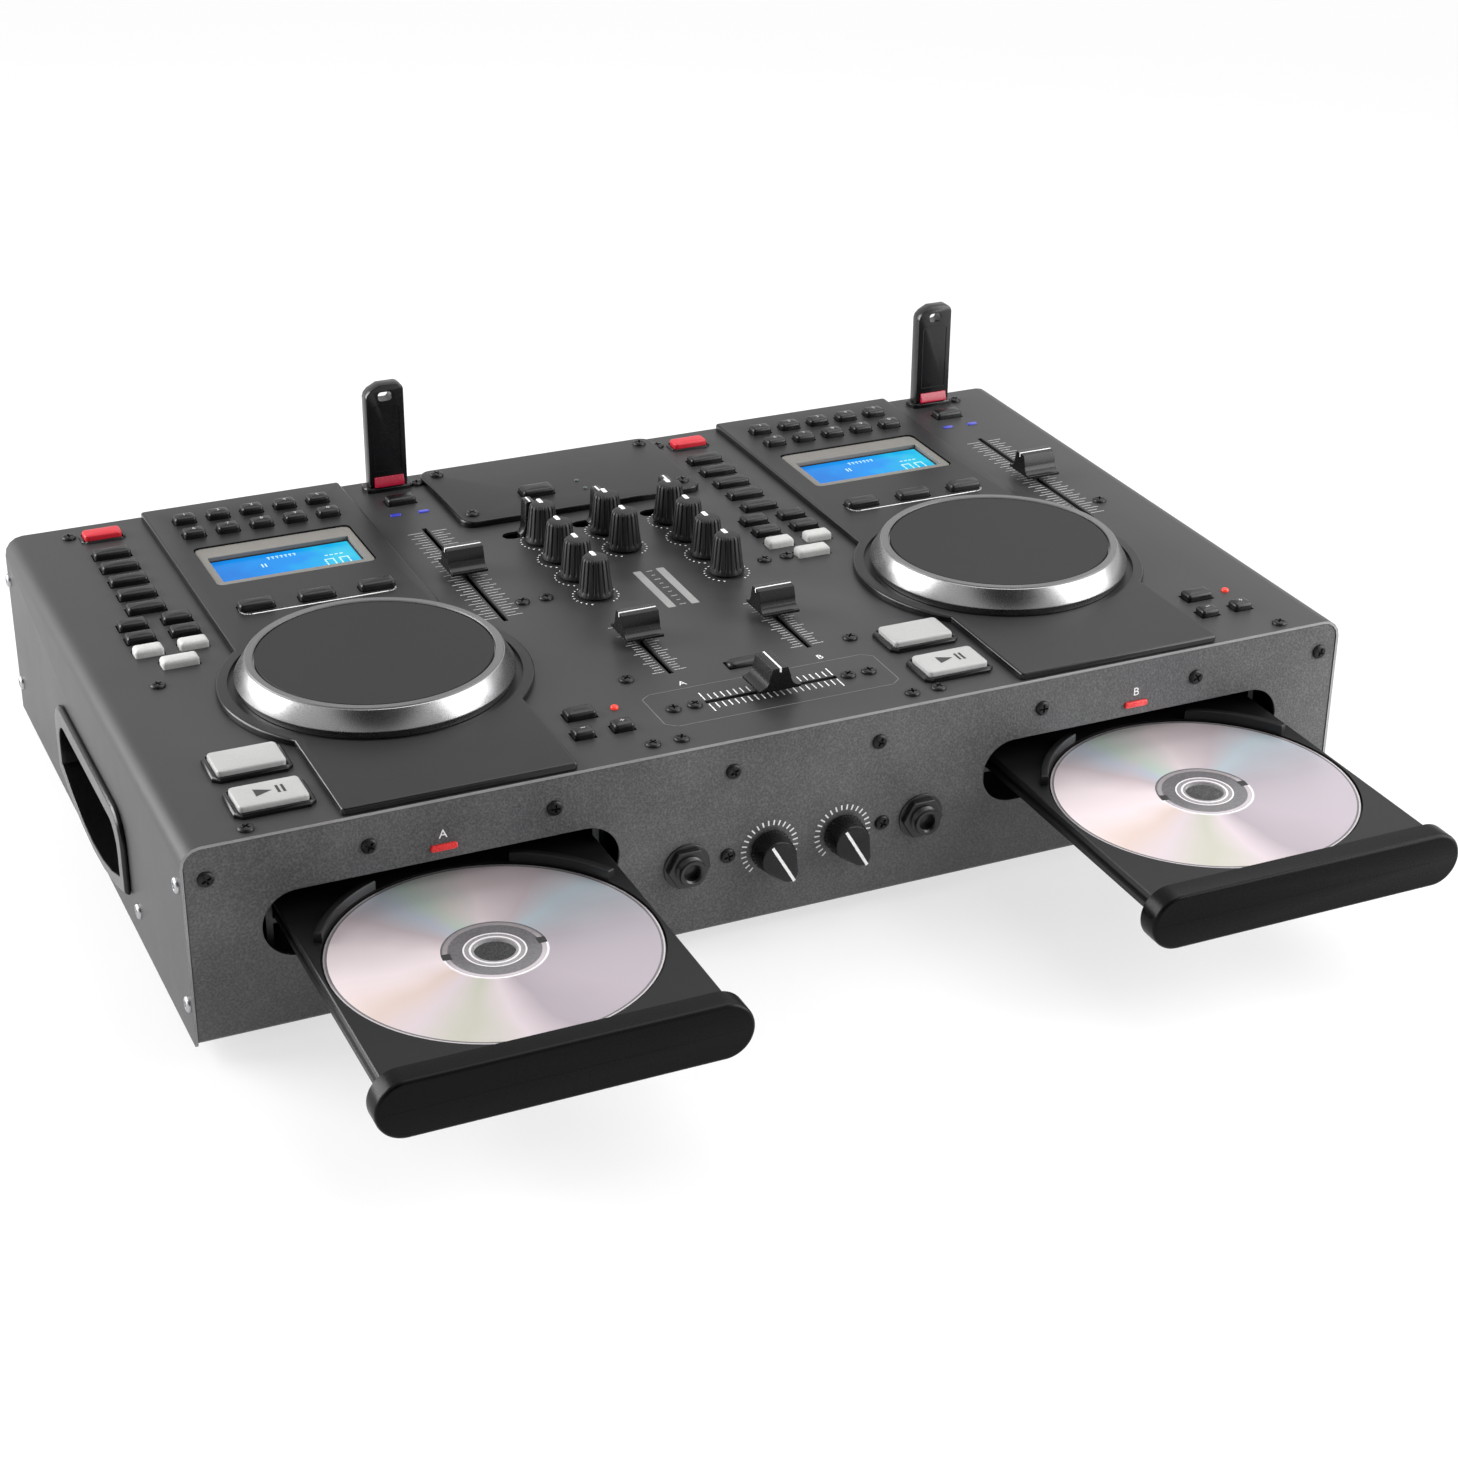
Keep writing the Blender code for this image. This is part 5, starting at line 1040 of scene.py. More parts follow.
grey_cap = finish(
    "grey_cap", tone(152, 152, 151), tone(172, 172, 171), (0.32, 0.46), 0.0006, 0.000012,
    gloss=0.4,
)
red_cap = finish(
    "red_cap", tone(176, 26, 40), tone(198, 36, 50), (0.3, 0.42), 0.0006, 0.000012, gloss=0.35,
)
ink_black = finish(
    "ink_black", tone(24, 24, 25), tone(34, 34, 35), (0.5, 0.6), 0.0004, 0.000004,
)
for deck in "ab":
    for key in ("cue_key", "play_key", "eject_key"):
        node, red = f"{key}_{deck}", key == "eject_key"
        keys, top = key_tops(node)
        bm = bmesh.new()
        key_cap(bm, keys[0], CAP_CORNER_R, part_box(node)[0].z, top, CAP_EDGE, KEY_CROWN)
        made = new_mesh("cap_" + node, bm, red_cap if red else grey_cap)
        settle(made, node, "red_key" if red else "grey_keys", node)
        if key == "play_key":
            x, y = keys[0][:2]
            bm = bmesh.new()
            rise(bm, [(x + u, y + v) for u, v in PLAY_TRIANGLE], top, top + MARK_H)
            for bar in PLAY_BARS:
                block(bm, x + bar, y, top, *PLAY_BAR_SIZE, MARK_H)
            settle(new_mesh("play_sign_" + deck, bm, ink_black), node, "grey_keys")


# Faders
# A moulded cap with swept flanks and a white line over its top, on a steel blade that runs in a
# slot of the cover.
FADER_W = 0.0160
FADER_FOOT = 0.0180
FADER_LOW = 0.0032
FADER_TOP = 0.0128
FADER_CROWN = 0.0068
FADER_NECK = 0.0092
FADER_SWEEP = 0.0042
FADER_LIP = 0.0012
FADER_EDGE = 0.0004
LINE_W = 0.0008
LINE_SUNK = 0.0002
# The line's short ends over both sides of the cap: thickness, foot below the top, height, and how
# deep they are let in
LINE_END_T = 0.0003
LINE_END_DOWN = 0.0018
LINE_END_H = 0.0017
LINE_END_IN = 0.0001
BLADE = (0.0012, 0.0050)
BLADE_IN = 0.0005

fader_plastic = finish(
    "fader_plastic", tone(9, 9, 10), tone(15, 15, 16), (0.2, 0.32), 0.0009, 0.00001, patch=0.01,
    gloss=0.3,
)
white_ink = finish(
    "white_ink", tone(216, 216, 215), tone(236, 236, 235), (0.5, 0.6), 0.0004, 0.000004,
)
blade_steel = finish(
    "blade_steel", tone(90, 91, 92), tone(130, 131, 132), (0.25, 0.4), 0.0005, 0.000006,
    Metallic=1.0,
)


def fader(node, along_y):
    def strip(bm, side, size, z, height):
        """A small block at one place across the cap, turned as the cap is."""
        place = (side, 0) if along_y else (0, side)
        block(bm, *place, z, *(size if along_y else size[::-1]), height)

    x, y, _ = middle(node)
    foot, top, half = PANEL_TOP + FADER_LOW, PANEL_TOP + FADER_TOP, FADER_W / 2
    flank = [(FADER_FOOT / 2, foot), (FADER_FOOT / 2, foot + FADER_LIP)]
    flank += arc(FADER_NECK / 2 + FADER_SWEEP, foot + FADER_LIP + FADER_SWEEP, FADER_SWEEP,
                 270, 180, 9)
    flank += arc(FADER_CROWN / 2 - FADER_EDGE, top - FADER_EDGE, FADER_EDGE, 10, 90, 3)
    outline = flank + [(-u, z) for u, z in reversed(flank)]
    bm = bmesh.new()
    loft(bm, [[(side, u, z) if along_y else (u, -side, z) for u, z in outline]
              for side in (-half, half)])
    cap = new_mesh(node + "_cap", bm, fader_plastic)
    soften(cap, FADER_EDGE, 2, 50)
    bm = bmesh.new()
    strip(bm, 0, (FADER_W, LINE_W), top - LINE_SUNK, LINE_SUNK + MARK_H)
    for side in (LINE_END_IN - half, half - LINE_END_IN):
        strip(bm, side, (LINE_END_T, LINE_W), top - LINE_END_DOWN, LINE_END_H)
    line = new_mesh(node + "_line", bm, white_ink)
    bm = bmesh.new()
    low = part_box(node)[0].z
    strip(bm, 0, BLADE, low, foot + BLADE_IN - low)
    blade = new_mesh(node + "_blade", bm, blade_steel)
    for piece in (cap, line, blade):
        piece.location = (x, y, 0)
    settle(cap, node, "black_plastic", node)
    settle(line, node, "black_plastic")
    settle(blade, node, "steel")


for deck in "ab":
    fader("pitch_fader_" + deck, True)
    fader("channel_fader_" + deck, True)
fader("crossfader", False)


# Slide switches
# Three moulded black levers that slide in openings of the cover behind the knobs, each with a
# flared foot and a white line across its top.
LEVER_LINE_W = 0.0008
LEVER_LINE_SHORT = 0.0012
# Length and corner radius of each ring, its height from the cover, or from the lever's top where
# it is not above zero, and what its depth is drawn in by
LEVER_RINGS = (
    (0.0098, 0.0030, 0.0008, 0.0), (0.0082, 0.0024, 0.0014, 0.0), (0.0068, 0.0016, 0.0024, 0.0),
    (0.0058, 0.0011, 0.0036, 0.0), (0.0052, 0.0008, 0.0050, 0.0), (0.0042, 0.0008, -0.0005, 0.0),
    (0.0038, 0.0006, -0.0001, 0.0004), (0.0034, 0.0004, 0.0, 0.0008),
)
for node in ("source_switch_a", "monitor_switch", "source_switch_b"):
    low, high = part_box(node)
    x, y, _ = middle(node)
    depth = high.y - low.y
    bm = bmesh.new()
    length, radius = LEVER_RINGS[0][:2]
    rings = [[(u, v, low.z) for u, v in rounded(x, y, length, depth, radius)]]
    for length, radius, up, drawn_in in LEVER_RINGS:
        z = up + (PANEL_TOP if up > 0 else high.z)
        rings.append([(u, v, z) for u, v in rounded(x, y, length, depth - drawn_in, radius)])
    loft(bm, rings)
    settle(new_mesh(node + "_lever", bm, fader_plastic), node, "black_plastic", node)
    bm = bmesh.new()
    block(bm, x, y, high.z, LEVER_LINE_W, depth - LEVER_LINE_SHORT, MARK_H)
    settle(new_mesh(node + "_line", bm, white_ink), node, "black_plastic")


# Mixer knobs
# Tapered soft-touch knobs with fine flutes and a flared skirt, pushed on shafts that stand up
# from the board. A white pointer is let into the top of each.
FLUTES = 18
FLUTE_DEPTH = 0.00055
KNOB_TOP_R = 0.0053
SHAFT_R = 0.0029
KNOB_FLOAT = 0.0008
POINTER_W = 0.0019
POINTER_LEN = 0.0046
POINTER_R = 0.0006
POINTER_IN = 0.0001
POINTER_SUNK = 0.0010
POINTER_PROUD = 0.0002
# Radius, share of the flute's depth, and height from the foot, or from the top where negative
KNOB_RINGS = (
    (0.0073, 0, 0.0), (0.0076, 0, 0.0004), (0.0075, 0, 0.0012), (0.0073, 0.3, 0.0020),
    (0.0070, 1, 0.0030), (0.0056, 1, -0.0016), (0.0053, 0.6, -0.0009), (0.0049, 0.3, -0.0003),
    (0.0043, 0, -0.000001), (0.0010, 0, -0.000001),
)

knob_rubber = finish(
    "knob_rubber", tone(14, 14, 15), tone(23, 23, 24), (0.4, 0.56), 0.0005, 0.000012, patch=0.01,
    gloss=0.3,
)


def fluted(radius, depth, z, steps=FLUTES * 8):
    points = []
    for i in range(steps):
        t = 2 * math.pi * i / steps
        reach = radius - depth * max(0.0, math.cos(FLUTES * t))
        points.append((reach * math.cos(t), reach * math.sin(t), z))
    return points


knobs = [name for name in sorted(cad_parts)
         if "_knob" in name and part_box(name)[1].z > PANEL_TOP]
for node in knobs:
    low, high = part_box(node)
    x, y, _ = middle(node)
    foot, top = PANEL_TOP + KNOB_FLOAT, high.z
    bm = bmesh.new()
    rings = [fluted(SHAFT_R, 0, low.z), fluted(SHAFT_R, 0, foot)]
    rings += [fluted(r, share * FLUTE_DEPTH, (foot if z >= 0 else top) + z)
              for r, share, z in KNOB_RINGS]
    loft(bm, rings)
    body = new_mesh(node + "_body", bm, knob_rubber)
    bm = bmesh.new()
    reach = KNOB_TOP_R - POINTER_LEN / 2 - POINTER_IN
    drop = rounded(0, reach, POINTER_W, POINTER_LEN, POINTER_R)
    rise(bm, drop, top - POINTER_SUNK, top + POINTER_PROUD, POINTER_PROUD)
    mark = new_mesh(node + "_pointer", bm, white_ink)
    for piece in (body, mark):
        piece.location = (x, y, 0)
    settle(body, node, "black_plastic", node)
    settle(mark, node, "black_plastic")


# Printing on the cover
# White ink: ticks along every fader slot, dots round every knob, the two level bars with their
# marks, the outline of the crossfader panel, the line under the loop keys and the deck letters.
PITCH_OUT = 0.0657
PITCH_Y = 0.1857
CHANNEL_X = 0.0302
CHANNEL_Y = 0.0872
CROSS_Y = 0.0332
# Each scale: its length, how many ticks, their short and long reach, the gap to the slot, and
# every which tick is long
PITCH_SCALE = (0.0955, 37, 0.0046, 0.0068, 0.0021, 2)
CHANNEL_SCALE = (0.0460, 21, 0.0034, 0.0052, 0.0021, 4)
CROSS_SCALE = (0.0550, 21, 0.0044, 0.0066, 0.0018, 20)
TICK_W = 0.0004
CROSS_TICK_W = 0.0005
KNOB_DOT = 0.0007
KNOB_DOTS_R = 0.0096
# Where the dots round a knob start and end, in degrees, and the steps between them
KNOB_DOTS_ARC = (-60, 240, 20)
LEVEL_BAR_X = 0.0053
LEVEL_BAR_Y = 0.1385
LEVEL_BAR = (0.0036, 0.0390, 0.0006)
LEVEL_TICKS = 9
LEVEL_TICKS_Y = 0.1205
LEVEL_TICK_STEP = 0.0045
LEVEL_TICK_LEN = (0.0028, 0.0016)
CROSS_LINE_W = 0.00035
# The line round the crossfader: x from the middle and y from the front
CROSS_FRAME = ((-0.050, 0.0445), (-0.050, 0.0220), (-0.046, 0.0185), (0.046, 0.0185),
               (0.050, 0.0220), (0.050, 0.0445), (0.046, 0.0475), (-0.046, 0.0475))
LOOP_LINE = 0.0330
LOOP_LINE_BEFORE = 0.0062
LOOP_HOOK = 0.0035
LOOP_LINE_W = 0.0007
LETTER_SIZE = 0.0048
LETTER_X = 0.0300
LETTER_Y = 0.0520

scale_ink = finish(
    "scale_ink", tone(150, 150, 150), tone(184, 184, 184), (0.5, 0.6), 0.0004, 0.000004,
)
dim_ink = finish(
    "dim_ink", tone(130, 130, 129), tone(152, 152, 151), (0.45, 0.6), 0.0005, 0.000006,
)
faint_ink = finish(
    "faint_ink", tone(86, 86, 86), tone(104, 104, 104), (0.45, 0.6), 0.0005, 0.000006,
)


def scale_ticks(bm, x, y, along_y, length, count, short, long, gap, every):
    """Two rows of ticks, one each side of a slot about (x, y), some of them longer."""
    for i in range(count):
        at = (i / (count - 1) - 0.5) * length
        reach = long if i % every == 0 else short
        for side in (-1, 1):
            out = side * (gap + reach / 2)
            if along_y:
                block(bm, x + out, y + at, PANEL_TOP, reach, TICK_W, MARK_H)
            else:
                block(bm, x + at, y + out, PANEL_TOP, CROSS_TICK_W, reach, MARK_H)


def drawn_line(bm, points, width, z, closed=False):
    """A printed line of one width through some points."""
    ends = points[1:] + points[:1] if closed else points[1:]
    for (x0, y0), (x1, y1) in zip(points, ends):
        u, v = Vector((x1 - x0, y1 - y0)).normalized() * (width / 2)
        rise(bm, [(x0 - u + v, y0 - v - u), (x1 + u + v, y1 + v - u),
                  (x1 + u - v, y1 + v + u), (x0 - u - v, y0 - v + u)], z, z + MARK_H)


bm = bmesh.new()
letters = bmesh.new()
for deck, way in (("a", -1), ("b", 1)):
    x = middle("jog_wheel_" + deck).x + PITCH_OUT
    scale_ticks(bm, x, FRONT + PITCH_Y, True, *PITCH_SCALE)
    x = way * CHANNEL_X
    scale_ticks(bm, x, FRONT + CHANNEL_Y, True, *CHANNEL_SCALE)
    place = (way * LETTER_X, FRONT + LETTER_Y, PANEL_TOP)
    print_text(letters, deck.upper(), place, LETTER_SIZE)
scale_ticks(letters, 0, FRONT + CROSS_Y, False, *CROSS_SCALE)
for node in knobs:
    x, y, _ = middle(node)
    for u, v in arc(x, y, KNOB_DOTS_R, *KNOB_DOTS_ARC):
        block(letters, u, v, PANEL_TOP, KNOB_DOT, KNOB_DOT, MARK_H)
for i in range(LEVEL_TICKS):
    y = FRONT + LEVEL_TICKS_Y + i * LEVEL_TICK_STEP
    block(bm, 0, y, PANEL_TOP, LEVEL_TICK_LEN[i % 2], TICK_W, MARK_H)
settle(new_mesh("scales", bm, scale_ink), "case", "case_paint")
settle(new_mesh("white_marks", letters, white_ink), "case", "case_paint")

bm = bmesh.new()
drawn_line(bm, [(x, FRONT + y) for x, y in CROSS_FRAME], CROSS_LINE_W, PANEL_TOP, True)
settle(new_mesh("crossfader_outline", bm, faint_ink), "case", "case_paint")

bm = bmesh.new()
for way in (-1, 1):
    bar = rounded(way * LEVEL_BAR_X, FRONT + LEVEL_BAR_Y, *LEVEL_BAR)
    rise(bm, bar, PANEL_TOP, PANEL_TOP + MARK_H)
settle(new_mesh("level_bars", bm, dim_ink), "case", "case_paint")

for deck in "ab":
    x, loop_y = middle("jog_wheel_" + deck).x, key_tops("deck_keys_" + deck)[0][-1][1]
    y = loop_y - LOOP_LINE_BEFORE + LOOP_HOOK
    line = [(x - LOOP_LINE, loop_y)]
    line += arc(x - LOOP_LINE + LOOP_HOOK, y, LOOP_HOOK, 180, 270, 5)
    line += arc(x + LOOP_LINE - LOOP_HOOK, y, LOOP_HOOK, 270, 360, 5)
    line.append((x + LOOP_LINE, loop_y))
    bm = bmesh.new()
    drawn_line(bm, line, LOOP_LINE_W, PANEL_TOP + PLATE_T)
    settle(new_mesh("loop_line_" + deck, bm, white_ink), "case", "plate_paint")


# Lamps of the controls
# Small moulded light pipes: two blue ones above each pitch fader, a red one beside the pitch
# keys, two green ones on the mixer plate, and a red bar with its letter over each tray slot.
# Places from the middle of a deck and from the front
BLUE_LAMPS = ((0.0590, 0.2568), (0.0718, 0.2564))
BLUE_LAMP = (0.0050, 0.0022, 0.0009)
PITCH_LAMP = (0.0763, 0.0423)
PITCH_LAMP_R = 0.0016
MIXER_LAMPS = ((0.0063, 0.2568), (0.0066, 0.2467))
MIXER_LAMP_R = 0.0011
LAMP_H = 0.0005
PITCH_LAMP_H = 0.0012
LAMP_EDGE = 0.0003
PITCH_LAMP_EDGE = 0.0008
TRAY_LAMP = (0.0105, 0.0026, 0.0010)
TRAY_LAMP_OUT = 0.0008
TRAY_LAMP_EDGE = 0.0005
TRAY_LAMP_DOWN = 0.0202
TRAY_LETTER_DOWN = 0.0150
TRAY_LETTER_SIZE = 0.0050

blue_light = glowing("blue_light", tone(30, 34, 90), 0.6, tone(34, 40, 190), tone(60, 66, 226))
red_light = glowing("red_light", tone(150, 20, 16), 0.7, tone(236, 40, 26), tone(255, 74, 48))
red_lens = finish(
    "red_lens", tone(196, 28, 30), tone(218, 44, 42), (0.2, 0.35), 0.0004, 0.00001,
)
green_lens = finish(
    "green_lens", tone(40, 52, 48), tone(58, 72, 66), (0.2, 0.35), 0.0004, 0.00001,
)
for deck in "ab":
    x = middle("jog_wheel_" + deck).x
    for i, (u, v) in enumerate(BLUE_LAMPS):
        bm = bmesh.new()
        outline = rounded(x + u, FRONT + v, *BLUE_LAMP)
        rise(bm, outline, PANEL_TOP, PANEL_TOP + LAMP_H, LAMP_EDGE)
        settle(new_mesh(f"blue_lamp_{deck}_{i}", bm, blue_light), "case", "display")
    bm = bmesh.new()
    outline = circle(x + PITCH_LAMP[0], FRONT + PITCH_LAMP[1], PITCH_LAMP_R, 20)
    rise(bm, outline, PANEL_TOP, PANEL_TOP + PITCH_LAMP_H, PITCH_LAMP_EDGE)
    settle(new_mesh("pitch_lamp_" + deck, bm, red_light), "case", "red_key")
    slot = middle("tray_" + deck).x
    bm = bmesh.new()
    bar = rounded(slot, PANEL_TOP - TRAY_LAMP_DOWN, *TRAY_LAMP)
    run_back(bm, bar, FRONT - TRAY_LAMP_OUT, FRONT + SHEET, TRAY_LAMP_EDGE)
    settle(new_mesh("tray_lamp_" + deck, bm, red_lens), "case", "red_key")
    bm = bmesh.new()
    place = (slot, base_low.y, PANEL_TOP - TRAY_LETTER_DOWN)
    print_text(bm, deck.upper(), place, TRAY_LETTER_SIZE, upright=True)
    settle(new_mesh("tray_letter_" + deck, bm, white_ink), "case", "case_paint")
for i, (x, y) in enumerate(MIXER_LAMPS):
    bm = bmesh.new()
    outline = circle(x, FRONT + y, MIXER_LAMP_R, 16)
    rise(bm, outline, plate_top, plate_top + LAMP_H, LAMP_EDGE)
    settle(new_mesh(f"mixer_lamp_{i}", bm, green_lens), "case", "display")


# Sockets and level knobs of the front panel
# Two plug sockets with black hexagon nuts, threaded bushes and nickel sleeves, and two black
# teardrop knobs on shafts, each with a white line that bends over its tip and a ring of ticks.
NUT_R = 0.0088
NUT_T = 0.0034
NUT_EDGE = 0.0005
NUT_CORNER_R = 0.0006
WASHER_R = 0.0096
WASHER_T = 0.0008
WASHER_EDGE = 0.0003
BUSH_R = 0.0058
BUSH_OUT = 0.0070
BUSH_IN = 0.0200
BUSH_BORE_R = 0.0033
BUSH_MOUTH = 0.0007
THREADS = 7
THREAD_PITCH = 0.0009
THREAD_DEPTH = 0.00035
SLEEVE_FRONT = -0.0030
SLEEVE_BACK = 0.0160
SLEEVE_END_T = 0.0010
SLEEVE_WALL = 0.0005
SLEEVE_HOLE_R = 0.0004
SOCKET_BODY = (0.0150, 0.0240)
SOCKET_CORNER_R = 0.0008
SOCKET_EDGE = 0.0004
TEAR_R = 0.0084
TEAR_TIP = 0.0098
TEAR_TIP_R = 0.0042
TEAR_H = 0.0092
TEAR_TAPER = 0.88
TEAR_AIM = 150
# Share of the knob's outline, height above its foot, and what the outline is drawn in by
TEAR_RINGS = (
    (1.0, 0.0, 0.0003), (1.0, 0.0004, 0.0), (1.0, 0.0022, 0.0), (0.97, 0.0030, 0.0),
    (TEAR_TAPER, TEAR_H - 0.0008, 0.0), (TEAR_TAPER, TEAR_H - 0.0003, 0.0003),
    (TEAR_TAPER, TEAR_H, 0.0009),
)
TEAR_SHAFT_LEN = 0.0080
LINE_HALF_W = 0.0006
# Along the knob from its shaft: where the line starts, and its distance from the tip's edge
LINE_START = -0.0066
LINE_SHORT = 0.0006
# The part of the line over the tip: its thickness, how far it stands out, its foot above the
# knob's, and how far it leans out there
TIP_LINE_T = 0.0007
TIP_LINE_OUT = 0.00015
TIP_LINE_FOOT = 0.0050
TIP_LINE_LEAN = 0.0008
TICK_FROM = 0.0100
TICK_TO = 0.0122
TICK_HALF_W = 0.0003
TICK_COUNT = 21
TICK_START = 225
TICK_STEP = 12

socket_black = finish(
    "socket_black", tone(15, 15, 16), tone(26, 26, 27), (0.25, 0.38), 0.0006, 0.00001,
)
nickel = finish(
    "nickel", tone(170, 170, 168), tone(206, 206, 204), (0.18, 0.3), 0.0005, 0.000006,
    Metallic=1.0,
)


def lay_back(made, *place):
    """Puts a piece made about the upright axis in its place, with its top to the rear."""
    turned = Matrix.Rotation(-math.pi / 2, 4, "X")
    made.matrix_world = Matrix.Translation(place) @ turned


def on_panel(points, x, y):
    """Points of a front knob's own plane as points of space, about x and all at one y."""
    aim = Matrix.Rotation(math.radians(90 - TEAR_AIM), 2)
    turned = [aim @ Vector(point) for point in points]
    return [(x + point.x, y, FRONT_ROW_Z + point.y) for point in turned]


for node in ("mic_jack", "headphone_jack"):
    x, face = middle(node).x, base_low.y
    bm = bmesh.new()
    run_back(bm, circle(x, FRONT_ROW_Z, WASHER_R), face - WASHER_T, face, WASHER_EDGE)
    hexagon, reach = [], NUT_R - NUT_CORNER_R
    for i in range(6):
        t = math.radians(60 * i)
        u, v = x + reach * math.cos(t), FRONT_ROW_Z + reach * math.sin(t)
        hexagon += arc(u, v, NUT_CORNER_R, 60 * i - 30, 60 * i + 30, 3)
    run_back(bm, hexagon, face - NUT_T, face - WASHER_T, NUT_EDGE)
    width, length = SOCKET_BODY
    shell = rounded(x, FRONT_ROW_Z, width, width, SOCKET_CORNER_R)
    run_back(bm, shell, face + SHEET + SEAT_GAP, face + SHEET + length, SOCKET_EDGE)
    settle(new_mesh(node + "_nut", bm, socket_black), "case", "black_plastic")
    profile = [(BUSH_BORE_R, BUSH_IN), (BUSH_R, BUSH_IN)]
    for i in range(THREADS):
        profile += [(BUSH_R, -i * THREAD_PITCH),
                    (BUSH_R - THREAD_DEPTH, -(i + 0.5) * THREAD_PITCH)]
    profile += [(BUSH_R - NUT_EDGE, -BUSH_OUT), (BUSH_BORE_R + BUSH_MOUTH, -BUSH_OUT),
                (BUSH_BORE_R, -BUSH_OUT + BUSH_MOUTH)]
    bm = bmesh.new()
    turn(bm, profile, 48, closed=True)
    bush = new_mesh(node + "_bush", bm, socket_black)
    lay_back(bush, x, face, FRONT_ROW_Z)
    settle(bush, "case", "black_plastic", node)
    bm = bmesh.new()
    wall, end = BUSH_BORE_R - SLEEVE_WALL, SLEEVE_BACK - SLEEVE_END_T
    turn(bm, [(BUSH_BORE_R, SLEEVE_FRONT), (BUSH_BORE_R, SLEEVE_BACK),
              (SLEEVE_HOLE_R, SLEEVE_BACK), (SLEEVE_HOLE_R, end), (wall, end),
              (wall, SLEEVE_FRONT)], 32, closed=True)
    sleeve = new_mesh(node + "_sleeve", bm, nickel)
    lay_back(sleeve, x, face, FRONT_ROW_Z)
    settle(sleeve, "case", "steel")

lean = math.degrees(math.acos((TEAR_R - TEAR_TIP_R) / TEAR_TIP))
tear = arc(0, 0, TEAR_R, lean, 360 - lean, 40) + arc(TEAR_TIP, 0, TEAR_TIP_R, -lean, lean, 12)
shaft = [(SHAFT_R * u / math.hypot(u, v), SHAFT_R * v / math.hypot(u, v)) for u, v in tear]
for node in ("mic_level_knob", "cue_level_knob"):
    x, foot = middle(node).x, base_low.y - KNOB_FLOAT
    rings = [on_panel(shaft, x, foot + TEAR_SHAFT_LEN), on_panel(shaft, x, foot)]
    for share, out, drawn_in in TEAR_RINGS:
        ring = inset([(u * share, v * share) for u, v in tear], drawn_in)
        rings.append(on_panel(ring, x, foot - out))
    bm = bmesh.new()
    loft(bm, rings)
    settle(new_mesh(node + "_body", bm, fader_plastic), node, "black_plastic", node)
    tip, w, face = (TEAR_TIP + TEAR_TIP_R) * TEAR_TAPER, LINE_HALF_W, foot - TEAR_H
    end, inner, outer = tip - LINE_SHORT, tip - TIP_LINE_T, tip + TIP_LINE_OUT
    strip = [(LINE_START, -w), (end, -w), (end, w), (LINE_START, w)]
    bm = bmesh.new()
    loft(bm, [on_panel(strip, x, face + LINE_SUNK), on_panel(strip, x, face - MARK_H)])
    over = [(inner, -w), (outer, -w), (outer, w), (inner, w)]
    under = [(u + TIP_LINE_LEAN, v) for u, v in over]
    loft(bm, [on_panel(over, x, face + LINE_SUNK / 2),
              on_panel(under, x, foot - TIP_LINE_FOOT)])
    settle(new_mesh(node + "_line", bm, white_ink), node, "black_plastic")
    bm = bmesh.new()
    centre = Vector((x, FRONT_ROW_Z))
    for i in range(TICK_COUNT):
        t = math.radians(TICK_START - TICK_STEP * i)
        spoke = Vector((math.cos(t), math.sin(t)))
        across = Vector((-spoke.y, spoke.x)) * TICK_HALF_W
        tick = [centre + spoke * r + across * s
                for r, s in ((TICK_FROM, -1), (TICK_TO, -1), (TICK_TO, 1), (TICK_FROM, 1))]
        run_back(bm, [tuple(point) for point in tick], base_low.y - MARK_H, base_low.y)
    settle(new_mesh(node + "_ticks", bm, white_ink), "case", "case_paint")


# Loading trays
# A moulded black tray on side rails, with a round pocket for the disc, an opening for the
# spindle, two guide walls behind the disc, and a glossy fascia with round ends on its front.
TRAY_HALF_W = 0.0620
TRAY_LEN = 0.1660
TRAY_PLATE_T = 0.0036
RAIL_H = 0.0078
RAIL_T = 0.0046
GROOVE = 0.0014
FASCIA_W = 0.1356
FASCIA_H = 0.0223
FASCIA_T = 0.0095
FASCIA_EDGE = 0.0016
FASCIA_DROP = 0.0014
FASCIA_LAP = 0.0020
RAIL_EDGE = 0.0003
TRAY_EDGE = 0.0004
POCKET_R = 0.0608
POCKET_DEPTH = 0.0020
HUB_OPENING_R = 0.0170
SLED_HALF_W = 0.0120
SLED_BACK = 0.0500
GUIDE_T = 0.0030
GUIDE_H = 0.0040
GUIDE_EDGE = 0.0006
GUIDE_ROOT = 0.0005
GUIDE_ANGLES = ((27, 65), (115, 153))

